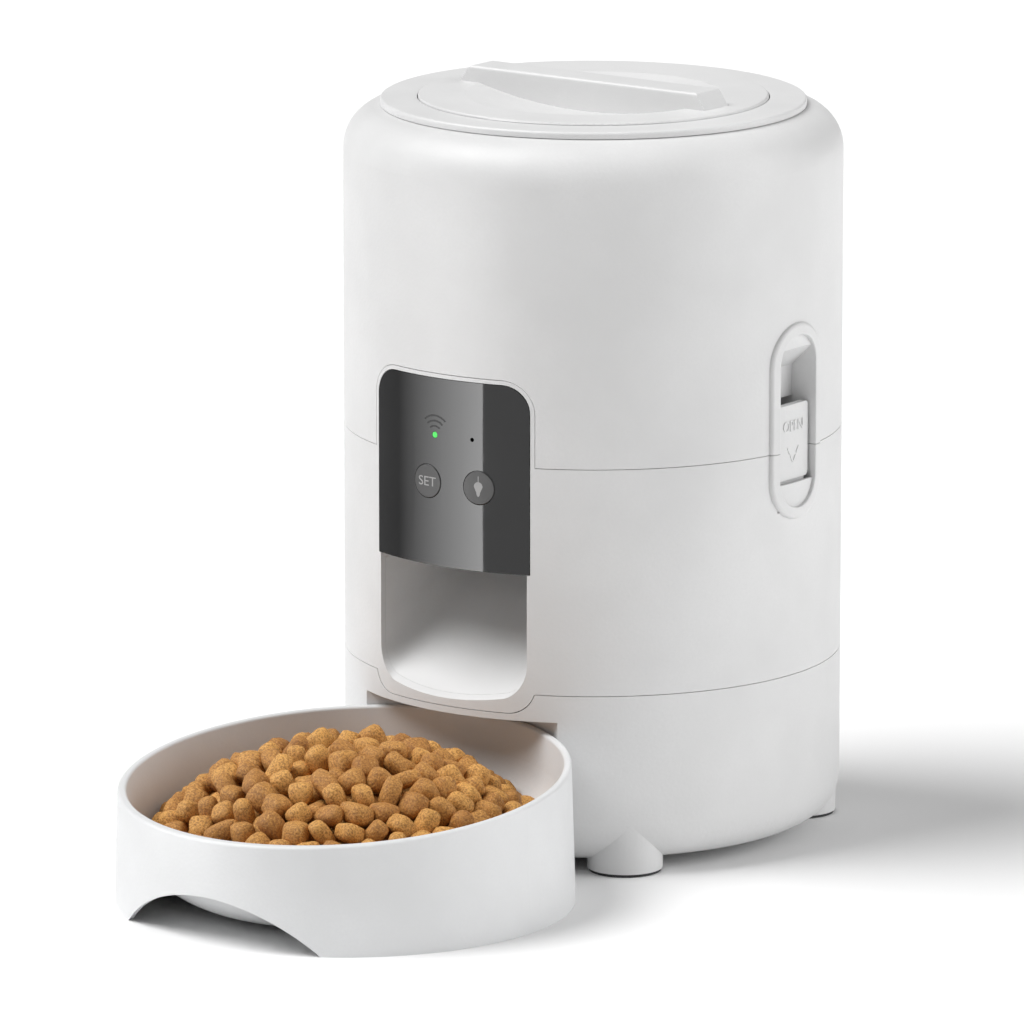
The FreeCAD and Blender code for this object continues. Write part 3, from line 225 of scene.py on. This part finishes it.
def cellSleeve(name, reach):
    make = Recipe(name)
    along = make.node("SeparateXYZ", None, {0: make.place()}, 1)
    ends = (along < reach[0] + 0.0016) + (along > reach[1] - 0.0034)
    band = (along > reach[1] - 0.0125) * (along < reach[1] - 0.0034)
    scratch = make.ramp(make.noise(0.0016, 5.0, 0.8), (0.62, 0.0), (0.72, 1.0))
    base = make.mix(band, colour(0.035, 0.045, 0.06), colour(0.55, 0.33, 0.08))
    base = make.mix(scratch * 0.35, base, colour(0.3, 0.3, 0.3))
    base = make.mix(ends, base, colour(0.65, 0.65, 0.66))
    roughness = 0.3 + scratch * 0.25
    return make.finish(baseColor=base, roughness=roughness, metallic=ends, normal=make.bump(scratch, 0.00002))


def sachetCloth(name):
    make = Recipe(name)
    fibre = make.noise(0.0004, 6.0, 0.8)
    dots = make.ramp(make.cells(0.0016), (0.18, 1.0), (0.3, 0.0))
    base = make.mix(fibre * 0.6, colour(0.84, 0.84, 0.8), colour(0.68, 0.68, 0.64))
    base = make.mix(dots * 0.4, base, colour(0.6, 0.61, 0.58))
    normal = make.bump(fibre - dots * 0.7, 0.00012)
    return make.finish(baseColor=base, roughness=0.86 + fibre * 0.1, normal=normal)


def kibbleCrumb(name):
    make = Recipe(name)
    tone = make.node("Attribute", {"attribute_name": "tone"}, None, "Fac")
    gritAndPaintedLight = make.noise(0.00075, 5.0, 0.75)
    crumb = make.cells(0.0011)
    patch = make.noise(0.0034, 3.0, 0.6, 6.0)
    base = make.mix(tone, colour(0.41, 0.175, 0.036), colour(0.78, 0.41, 0.105))
    base = make.mix(make.ramp(patch, (0.35, 0.0), (0.7, 1.0)) * 0.4, base, colour(0.60, 0.29, 0.06))
    # dark specks in the low points of the grit bump: the crumb's own dark specks, and painted shade in those
    # hollows
    base = make.mix(make.ramp(gritAndPaintedLight, (0.42, 0.7), (0.53, 0.0)), base, colour(0.20, 0.075, 0.016))
    # light specks on the raised grit: the crumb's own light specks, and a painted highlight on those grains
    base = make.mix(make.ramp(gritAndPaintedLight, (0.58, 0.0), (0.70, 0.6)), base, colour(0.93, 0.64, 0.29))
    height = gritAndPaintedLight * 0.8 + crumb * 0.5
    roughness = 0.72 + (gritAndPaintedLight - 0.5) * 0.3
    return make.finish(baseColor=base, roughness=roughness, normal=make.bump(height, 0.00035))


def paperWhite(name, tint):
    make = Recipe(name)
    speck = make.noise(0.0009, 4.0, 0.7)
    fade = make.noise(0.004, 3.0, 0.6, 1.0)
    faded = make.ramp(fade, (0.4, 0.0), (0.7, 1.0)) * 0.3
    base = make.mix(faded, colour(*tint), colour(*[c * 0.75 for c in tint]))
    roughness = 0.5 + (speck - 0.5) * 0.2
    return make.finish(baseColor=base, roughness=roughness, normal=make.bump(speck, 0.00001))


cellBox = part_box("battery_cells")
finishes = {
    "white_plastic": mouldedPlastic("satinWhiteShell", (0.71, 0.71, 0.71), 0.0011, 0.00006, 0.47),
    "lid_plastic": mouldedPlastic("satinWhiteLid", (0.73, 0.73, 0.73), 0.0008, 0.00003, 0.42),
    "bowl_plastic": mouldedPlastic("satinWhiteBowl", (0.71, 0.715, 0.72), 0.0010, 0.00005, 0.45),
    "panel_black": polishedPanel("polishedCharcoal"),
    "button_black": mouldedPlastic("satinCharcoal", (0.045, 0.045, 0.045), 0.0005, 0.00002, 0.42, dust=0.15),
    "clear_plastic": mouldedPlastic("greenLight", (0.015, 0.42, 0.04), 0.0007, 0.00001, 0.3, glow=1.0),
    "inner_plastic": mouldedPlastic("innerMoulding", (0.70, 0.71, 0.71), 0.0014, 0.00003, 0.5, dust=0.08),
    "chute_plastic": mouldedPlastic("smoothChute", (0.72, 0.72, 0.72), 0.0012, 0.00002, 0.4),
    "gear_acetal": mouldedPlastic("naturalAcetal", (0.80, 0.78, 0.70), 0.0009, 0.00002, 0.38),
    "grey_plastic": mouldedPlastic("darkMoulding", (0.17, 0.175, 0.18), 0.0009, 0.00004, 0.48, dust=0.14),
    "rubber_grey": softRubber("footRubber", (0.03, 0.03, 0.032), 0.72, 0.00008),
    "silicone_white": softRubber("sealSilicone", (0.66, 0.66, 0.63), 0.5, 0.00003),
    "steel": metal("platedSteel", (0.56, 0.56, 0.57), 0.3),
    "brass": metal("turnedBrass", (0.72, 0.5, 0.2), 0.28, (0.2, 0.2, 1.0)),
    "circuit_green": circuitBoard("solderMask"),
    "cell_sleeve": cellSleeve("printedSleeve", (cellBox[0][1], cellBox[1][1])),
    "pack_paper": sachetCloth("sachetCloth"),
}
for part in frame["record"]["subparts"]:
    holder = cad[part["node"]]
    holder.data.materials.clear()
    holder.data.materials.append(finishes[part["material_slot"]])
    for face in holder.data.polygons:
        face.material_index = 0
print("materials on the frame:", len(finishes))


# Mesh helpers

def pickAll(state="SELECT"):
    bpy.ops.mesh.select_all(action=state)


def pickVertices(test):
    bpy.ops.object.mode_set(mode="OBJECT")
    piece = bpy.context.object
    for face in piece.data.polygons:
        face.select = False
    for edge in piece.data.edges:
        edge.select = False
    for point in piece.data.vertices:
        point.select = test(point.co)
    bpy.ops.object.mode_set(mode="EDIT")


def startPiece(name):
    piece = bpy.context.object
    piece.name = name
    piece.data.name = name
    bpy.ops.object.mode_set(mode="EDIT")
    return piece


def endPiece(piece, material, body):
    if bpy.context.mode != "OBJECT":
        bpy.ops.object.mode_set(mode="OBJECT")
    piece.data.materials.clear()
    piece.data.materials.append(material)
    for face in piece.data.polygons:
        face.material_index = 0
    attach(piece, body)
    bpy.ops.object.select_all(action="DESELECT")
    return piece


def fixPlace(piece):
    bpy.ops.object.select_all(action="DESELECT")
    piece.select_set(True)
    bpy.context.view_layer.objects.active = piece
    bpy.ops.object.transform_apply(location=True, rotation=True, scale=True)


def letters(name, words, width, height, thick):
    bpy.ops.object.text_add()
    piece = bpy.context.object
    piece.data.body = words
    piece.data.align_x = "CENTER"
    piece.data.align_y = "CENTER"
    piece.data.extrude = 0.5
    piece.data.resolution_u = 6
    bpy.ops.object.convert(target="MESH")
    piece = bpy.context.object
    piece.name = name
    spots = np.array([v.co for v in piece.data.vertices])
    middle = (spots.min(axis=0) + spots.max(axis=0)) / 2
    spread = spots.max(axis=0) - spots.min(axis=0)
    fit = Matrix.Diagonal((width / spread[0], height / spread[1], thick / spread[2], 1))
    piece.data.transform(fit @ Matrix.Translation(-Vector(middle)))
    return piece


def wrapOnTower(piece, radius):
    # a mark drawn flat on XZ, facing -Y, is laid on the tower's round front
    for point in piece.data.vertices:
        point.co.y -= math.sqrt(radius ** 2 - point.co.x ** 2)


# Printed marks on the buttons and the panel

marks = {
    "ink": 0.00006,
    "setSize": (0.0084, 0.0036),
    "dropSize": (0.0036, 0.0056),
    "dropSteps": 6,
    "dropTaper": 0.87,
    "dropLift": 0.08,         # share of the drop's height
    "stem": (0.0003, 0.0024),
    "stemRise": 0.42,         # share of the stem's length
    "arcRadii": (0.0034, 0.0054, 0.0074),
    "arcWidth": 0.0007,
    "arcSpread": 84.0,
}
buttonRadius = -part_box("set_button")[0][1]


def centreOf(node):
    low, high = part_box(node)
    return Vector([(a + b) / 2 for a, b in zip(low, high)])


def setLegend(ink):
    middle = centreOf("set_button")
    piece = letters("set_legend", "SET", *marks["setSize"], marks["ink"])
    piece.data.transform(Matrix.Translation((middle.x, 0, middle.z)) @ Matrix.Rotation(math.pi / 2, 4, "X"))
    wrapOnTower(piece, buttonRadius)
    endPiece(piece, ink, "set_button")


def feedLegend(ink):
    middle = centreOf("feed_button")
    width, height = marks["dropSize"]
    bpy.ops.mesh.primitive_circle_add(vertices=40, radius=width / 2, fill_type="NGON",
                                      location=(0, 0, 0), rotation=(math.pi / 2, 0, 0))
    piece = bpy.context.object
    fixPlace(piece)
    startPiece("feed_legend")
    steps = marks["dropSteps"]
    taper = (marks["dropTaper"], 1, 1)
    for step in range(steps):  # the lower half is drawn down to a point
        level = -width / 2 * step / steps
        pickVertices(lambda spot, level=level: spot.z < level - 1e-6)
        bpy.ops.transform.resize(value=taper, orient_type="GLOBAL", center_override=(0, 0, 0))
        bpy.ops.transform.translate(value=(0, 0, -(height - width) / steps))
    bpy.ops.object.mode_set(mode="OBJECT")
    stemWide, stemTall = marks["stem"]
    bpy.ops.mesh.primitive_plane_add(size=1, location=(0, 0, width / 2 + stemTall * marks["stemRise"]),
                                     rotation=(math.pi / 2, 0, 0))
    stem = bpy.context.object
    stem.scale = (stemWide, stemTall, 1)
    fixPlace(stem)
    piece.select_set(True)
    bpy.context.view_layer.objects.active = piece
    bpy.ops.object.join()
    thick = piece.modifiers.new("thick", "SOLIDIFY")
    thick.thickness = marks["ink"]
    thick.offset = 0
    bpy.ops.object.modifier_apply(modifier="thick")
    piece.data.transform(Matrix.Translation((middle.x, 0, middle.z + height * marks["dropLift"])))
    wrapOnTower(piece, buttonRadius)
    endPiece(piece, ink, "feed_button")


def signalArcs(ink):
    light = centreOf("light_pipe")
    for number, radius in enumerate(marks["arcRadii"]):
        turn = math.radians(marks["arcSpread"] / 2)
        bpy.ops.mesh.primitive_plane_add(size=1)
        piece = bpy.context.object
        flat = Matrix.Diagonal((marks["arcWidth"], marks["ink"], 1, 1))
        piece.data.transform(Matrix.Translation((radius, 0, 0)) @ flat)
        startPiece("signal_arc_%d" % (number + 1))
        pickAll()
        bpy.ops.mesh.spin(steps=16, angle=2 * turn, center=(0, 0, 0), axis=(0, 1, 0))
        pickAll()
        bpy.ops.mesh.remove_doubles(threshold=1e-7)
        bpy.ops.mesh.normals_make_consistent(inside=False)
        bpy.ops.object.mode_set(mode="OBJECT")
        level = np.mean([v.co for v in piece.data.vertices], axis=0)
        heading = math.atan2(level[0], level[2])
        piece.data.transform(Matrix.Rotation(-heading, 4, "Y"))
        piece.data.transform(Matrix.Translation((light.x, 0, light.z)))
        wrapOnTower(piece, -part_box("control_panel")[0][1])
        endPiece(piece, ink, "tower")


paleInk = paperWhite("paleInk", (0.34, 0.34, 0.34))
darkInk = paperWhite("darkInk", (0.012, 0.012, 0.012))
setLegend(paleInk)
feedLegend(paleInk)
signalArcs(darkInk)
print("printed marks laid on")


# Raised words and arrow on the side latches

latchMarks = {
    "wordSize": (0.0125, 0.0042),
    "middleDrop": 0.0143,   # the middle of the marks below the slider's top
    "wordUp": 0.0062,       # above that middle
    "proud": 0.00035,
    "arrowWide": 0.0075,
    "arrowTall": 0.0062,
    "arrowDown": -0.0018,
    "stroke": 0.0007,
    "dashPlaces": (0.24, 0.76),
    "dashShare": 0.4,
}


def latchWord(side, body):
    low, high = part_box("latch_slider_" + side)
    sign = 1 if side == "right" else -1
    face = high[0] if sign > 0 else -low[0]
    middle = high[2] - latchMarks["middleDrop"]
    proud = latchMarks["proud"]
    piece = letters("open_word_" + side, "OPEN", *latchMarks["wordSize"], 2 * proud)
    parts = [piece]
    for lean in (-1, 1):
        wide = latchMarks["arrowWide"] / 2
        tall = latchMarks["arrowTall"]
        for share in latchMarks["dashPlaces"]:  # each arm is broken in the middle
            bpy.ops.mesh.primitive_cube_add(size=1)
            dash = bpy.context.object
            startPiece("dash")
            pickAll()
            bpy.ops.mesh.bevel(offset=0.12, segments=2)
            bpy.ops.object.mode_set(mode="OBJECT")
            dashLength = math.hypot(wide, tall) * latchMarks["dashShare"]
            size = Matrix.Diagonal((latchMarks["stroke"], dashLength, 2 * proud, 1))
            arrowTop = latchMarks["arrowDown"] - latchMarks["wordUp"]
            spot = (lean * wide * share, arrowTop - tall * (1 - share), 0)
            turn = Matrix.Rotation(-lean * math.atan2(wide, tall), 4, "Z")
            dash.data.transform(Matrix.Translation(spot) @ turn @ size)
            parts.append(dash)
    bpy.ops.object.select_all(action="DESELECT")
    for part in parts:
        part.select_set(True)
    bpy.context.view_layer.objects.active = piece
    bpy.ops.object.join()
    stand = Matrix.Rotation(math.pi / 2, 4, "Z") @ Matrix.Rotation(math.pi / 2, 4, "X")
    if sign < 0:
        stand = Matrix.Rotation(math.pi, 4, "Z") @ stand
    piece.data.transform(stand)
    piece.data.transform(Matrix.Translation((sign * face, 0, middle + latchMarks["wordUp"])))
    endPiece(piece, finishes["white_plastic"], body)


latchWord("right", "slider_right")
latchWord("left", "slider_left")
print("latch words raised")


# Return springs behind the latches

springWork = {
    "turns": 6,
    "wire": 0.00035,
    "round": 10,
    "steps": 18,
    "travel": 0.0055,
}


def coilSpring(side, material):
    low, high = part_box("latch_spring_" + side)
    wire = springWork["wire"]
    radius = (high[1] - low[1]) / 2 - wire
    bpy.ops.mesh.primitive_circle_add(vertices=springWork["round"], radius=wire,
                                      location=(radius, 0, 0), rotation=(math.pi / 2, 0, 0))
    piece = bpy.context.object
    fixPlace(piece)
    piece.name = "spring_coil_" + side
    wind = piece.modifiers.new("wind", "SCREW")
    wind.iterations = springWork["turns"]
    wind.screw_offset = (high[2] - low[2] - 2 * wire) / springWork["turns"]
    wind.steps = springWork["steps"]
    wind.render_steps = springWork["steps"]
    bpy.ops.object.modifier_apply(modifier="wind")
    spots = np.array([v.co for v in piece.data.vertices])
    squeeze = (high[2] - low[2]) / (spots[:, 2].max() - spots[:, 2].min())
    piece.data.transform(Matrix.Diagonal((1, 1, squeeze, 1)) @ Matrix.Translation((0, 0, -spots[:, 2].min())))
    middle = (low[0] + high[0]) / 2
    piece.data.transform(Matrix.Translation((middle, (low[1] + high[1]) / 2, low[2])))
    startPiece("spring_coil_" + side)
    pickAll()
    bpy.ops.mesh.remove_doubles(threshold=1e-6)
    bpy.ops.mesh.fill_holes(sides=0)
    bpy.ops.mesh.normals_make_consistent(inside=False)
    bpy.ops.mesh.faces_shade_smooth()
    endPiece(piece, material, "slider_" + side)
    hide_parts("latch_spring_" + side)
    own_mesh(piece)


for sideName in ("right", "left"):
    coilSpring(sideName, finishes["steel"])
print("latch springs wound")


# Dry food in the bowl

food = {
    "seed": 7,
    "centre": (0.0, -0.1558, 0.048),   # middle of the bowl's rim
    "tilt": 5.5,
    "rim": 0.0816,
    "lean": 9.0,
    "depth": 0.0385,
    "corner": 0.030,
    "bead": 0.0052,           # half the size of a piece
    "fill": 0.60,
    "peak": 0.0052,           # heap's highest centres above the rim plane
    "drop": 0.0235,
    "skirt": 0.064,
    "shift": -0.005,          # heap's highest point, off the middle
    "bulge": 2.5,
    "rounds": 220,
    "push": 0.28,             # share of an overlap taken out in each round
    "heapReach": 0.0745,
    "startReach": 0.068,
    "startTall": 0.045,
    "spill": 0.94,            # share of the room counted as filled
    "body": "bowl",
}


def heapTop(reach):
    return food["peak"] - food["drop"] * (reach / food["skirt"]) ** food["bulge"]


def keepInside(spots):
    bead = food["bead"]
    reach = np.maximum(np.hypot(spots[:, 0], spots[:, 1]), 1e-6)
    wall = food["rim"] + spots[:, 2] * math.tan(math.radians(food["lean"])) - bead
    wanted = np.minimum(reach, wall)
    lean = math.radians(90 + food["lean"]) / 2
    foot = food["rim"] - food["depth"] * math.tan(math.radians(food["lean"]))
    ring = foot - food["corner"] / math.tan(lean)
    level = food["corner"] - food["depth"]
    height = np.maximum(spots[:, 2], bead - food["depth"])
    out = wanted - ring
    down = height - level
    far = np.hypot(out, down)
    corner = (out > 0) & (down < 0) & (far > food["corner"] - bead)
    pull = np.where(corner, (food["corner"] - bead) / np.maximum(far, 1e-9), 1.0)
    wanted = np.where(corner, ring + out * pull, wanted)
    height = np.where(corner, level + down * pull, height)
    height = np.minimum(height, heapTop(np.hypot(spots[:, 0] - food["shift"], spots[:, 1])))
    height = np.maximum(height, bead - food["depth"])
    spots[:, 0] *= wanted / reach
    spots[:, 1] *= wanted / reach
    spots[:, 2] = height
    return spots


def packHeap(draw):
    reach = np.linspace(0, food["rim"], 200)
    under = np.full(200, -food["depth"])
    tall = np.clip(heapTop(reach) + food["bead"] - under, 0, None)
    tall[reach > food["heapReach"]] = 0
    room = (2 * np.pi * reach * tall).sum() * (reach[1] - reach[0]) * food["spill"]
    count = int(food["fill"] * room / (4 / 3 * math.pi * food["bead"] ** 3))
    turn = draw.random(count) * 2 * math.pi
    out = np.sqrt(draw.random(count)) * food["startReach"]
    height = draw.random(count) * food["startTall"] - food["depth"]
    spots = np.stack([out * np.cos(turn), out * np.sin(turn), height], axis=1)
    size = 2 * food["bead"]
    for _ in range(food["rounds"]):
        gap = spots[:, None, :] - spots[None, :, :]
        far = np.sqrt((gap ** 2).sum(axis=2)) + np.eye(count)
        push = np.clip(size - far, 0, None) / far * food["push"]
        spots = keepInside(spots + (gap * push[:, :, None]).sum(axis=1))
    return spots


def kibbleShapes():
    shapes = []
    looks = ((1.0, 0.86, 0.66, 1.0), (1.08, 0.74, 0.68, 0.82), (0.9, 0.88, 0.72, 0.6), (1.2, 0.7, 0.6, 0.9),
             (0.82, 0.8, 0.74, 1.0))
    for number, (long, wide, tall, taper) in enumerate(looks):
        bpy.ops.mesh.primitive_cube_add(size=2)
        piece = startPiece("kibbleShape%d" % number)
        pickAll()
        bpy.ops.mesh.subdivide(number_cuts=1)
        bpy.ops.transform.tosphere(value=0.10)
        pickVertices(lambda spot: spot.x > 0.5)
        bpy.ops.transform.resize(value=(1, taper, 1), center_override=(0, 0, 0))
        pickAll()
        bpy.ops.transform.vertex_random(offset=0.12, uniform=1, normal=0, seed=number)
        bpy.ops.object.mode_set(mode="OBJECT")
        soften = piece.modifiers.new("round", "SUBSURF")
        soften.levels = 1
        soften.render_levels = 1
        bpy.ops.object.modifier_apply(modifier="round")
        points = np.array([v.co for v in piece.data.vertices])
        points /= np.abs(points).max(axis=0)
        points *= (long, wide, tall)
        shapes.append((points, [list(face.vertices) for face in piece.data.polygons]))
        bpy.data.objects.remove(piece)
    return shapes


def kibbleHeap(material):
    draw = np.random.default_rng(food["seed"])
    shapes = kibbleShapes()
    spots = packHeap(draw)
    points, faces, tones = [], [], []
    used = 0
    for spot in spots:
        shape, rings = shapes[int(draw.integers(len(shapes)))]
        spin = draw.normal(size=4)
        spin /= np.linalg.norm(spin)
        w, x, y, z = spin
        turn = np.array([
            [1 - 2 * (y * y + z * z), 2 * (x * y - z * w), 2 * (x * z + y * w)],
            [2 * (x * y + z * w), 1 - 2 * (x * x + z * z), 2 * (y * z - x * w)],
            [2 * (x * z - y * w), 2 * (y * z + x * w), 1 - 2 * (x * x + y * y)]])
        size = food["bead"] * draw.uniform(0.98, 1.26)
        points.append(shape * size @ turn.T + spot)
        faces += [[corner + used for corner in ring] for ring in rings]
        tones += [draw.uniform(0.05, 1.0)] * len(shape)
        used += len(shape)
    mesh = bpy.data.meshes.new("kibble")
    mesh.from_pydata(np.concatenate(points).tolist(), [], faces)
    piece = bpy.data.objects.new("kibble", mesh)
    bpy.context.scene.collection.objects.link(piece)
    tone = mesh.attributes.new("tone", "FLOAT", "POINT")
    tone.data.foreach_set("value", tones)
    mesh.transform(Matrix.Translation(food["centre"]) @ Matrix.Rotation(math.radians(food["tilt"]), 4, "X"))
    for face in mesh.polygons:
        face.use_smooth = True
    endPiece(piece, material, food["body"])
    print("kibble heap:", len(spots), "pieces")


kibbleHeap(kibbleCrumb("bakedKibble"))


# Floor, lights and camera

studio = {
    "floorSize": 16.0,
    "floorTone": 0.93,
    "worldLight": 0.23,
    "leftSun": (-48.0, 55.0, 3.15, 42.0),     # heading, elevation, strength, spread
    "rightSun": (116.0, 20.0, 1.55, 45.0),
}

view = {
    "heading": 36.147,
    "distance": 3.655,
    "height": 0.90995,
    "pitch": 12.188,
    "yaw": 0.484,
    "lens": 343.5,
    "sensor": 36.0,
}


def floorSheet():
    bpy.ops.mesh.primitive_plane_add(size=studio["floorSize"])
    sheet = bpy.context.object
    sheet.name = "floorSheet"
    make = Recipe("paleFloor")
    tone = studio["floorTone"]
    drift = make.noise(0.4, 3.0)
    base = make.mix(drift, colour(tone, tone, tone), colour(tone * 0.985, tone * 0.985, tone * 0.985))
    sheet.data.materials.append(make.finish(baseColor=base, roughness=0.8 + drift * 0.1))


def softSun(name, heading, elevation, strength, spread):
    bpy.ops.object.light_add(type="SUN")
    lamp = bpy.context.object
    lamp.name = name
    lamp.data.energy = strength
    lamp.data.angle = math.radians(spread)
    lamp.rotation_euler = (math.radians(90 - elevation), 0, math.radians(heading))


card = {
    "radius": 0.42,
    "tall": 0.17,
    "lift": 0.001,
    "bright": 9.9,       # heading of the bright edge
    "faded": 55.0,
    "end": 75.0,
    "low": 0.4,
    "peak": 6.8,
}


def glossCard():
    # a lit card that only gloss sees, to the left of the front, bright at its right edge
    bright, faded, end = [math.radians(card[key]) for key in ("bright", "faded", "end")]
    bpy.ops.mesh.primitive_plane_add(size=1)
    sheet = bpy.context.object
    sheet.name = "glossCard"
    startPiece("glossCard")
    pickAll()
    bpy.ops.mesh.subdivide(number_cuts=24)
    bpy.ops.object.mode_set(mode="OBJECT")
    for point in sheet.data.vertices:
        angle = bright + (end - bright) * (point.co.x + 0.5)
        level = card["lift"] + (point.co.y + 0.5) * card["tall"]
        point.co = (-card["radius"] * math.sin(angle), -card["radius"] * math.cos(angle), level)
    make = Recipe("cardGlow")
    spot = make.place()
    across = make.node("SeparateXYZ", None, {0: spot}, 0) * -1.0
    depth = make.node("SeparateXYZ", None, {0: spot}, 1) * -1.0
    heading = make.node("Math", {"operation": "ARCTAN2"}, {0: across, 1: depth})
    fade = make.node("MapRange", None, {0: heading, 1: bright, 2: faded, 3: 1.0, 4: 0.0})
    strength = (fade ** 1.2) * card["peak"] + card["low"]
    glow = make.node("Emission", None, {"Color": colour(1, 1, 1), "Strength": strength})
    make.node("OutputMaterial", None, {"Surface": glow})
    sheet.data.materials.append(make.material)
    sheet.visible_camera = False
    sheet.visible_diffuse = False
    sheet.visible_shadow = False
    sheet.visible_transmission = False


def camera():
    heading = math.radians(view["heading"])
    place = (view["distance"] * math.sin(heading), -view["distance"] * math.cos(heading), view["height"])
    bpy.ops.object.camera_add(location=place)
    eye = bpy.context.object
    eye.rotation_euler = (math.radians(90 - view["pitch"]), 0, heading + math.radians(view["yaw"]))
    eye.data.lens = view["lens"]
    eye.data.sensor_width = view["sensor"]
    eye.data.clip_end = 60
    bpy.context.scene.camera = eye


def skyLight():
    world = bpy.context.scene.world or bpy.data.worlds.new("World")
    bpy.context.scene.world = world
    world.use_nodes = True
    sky = world.node_tree.nodes["Background"]
    sky.inputs["Color"].default_value = colour(1, 1, 1)
    sky.inputs["Strength"].default_value = studio["worldLight"]


bpy.context.scene.view_settings.view_transform = "Standard"
floorSheet()
softSun("leftSun", *studio["leftSun"])
softSun("rightSun", *studio["rightSun"])
glossCard()
skyLight()
camera()
print("studio set")
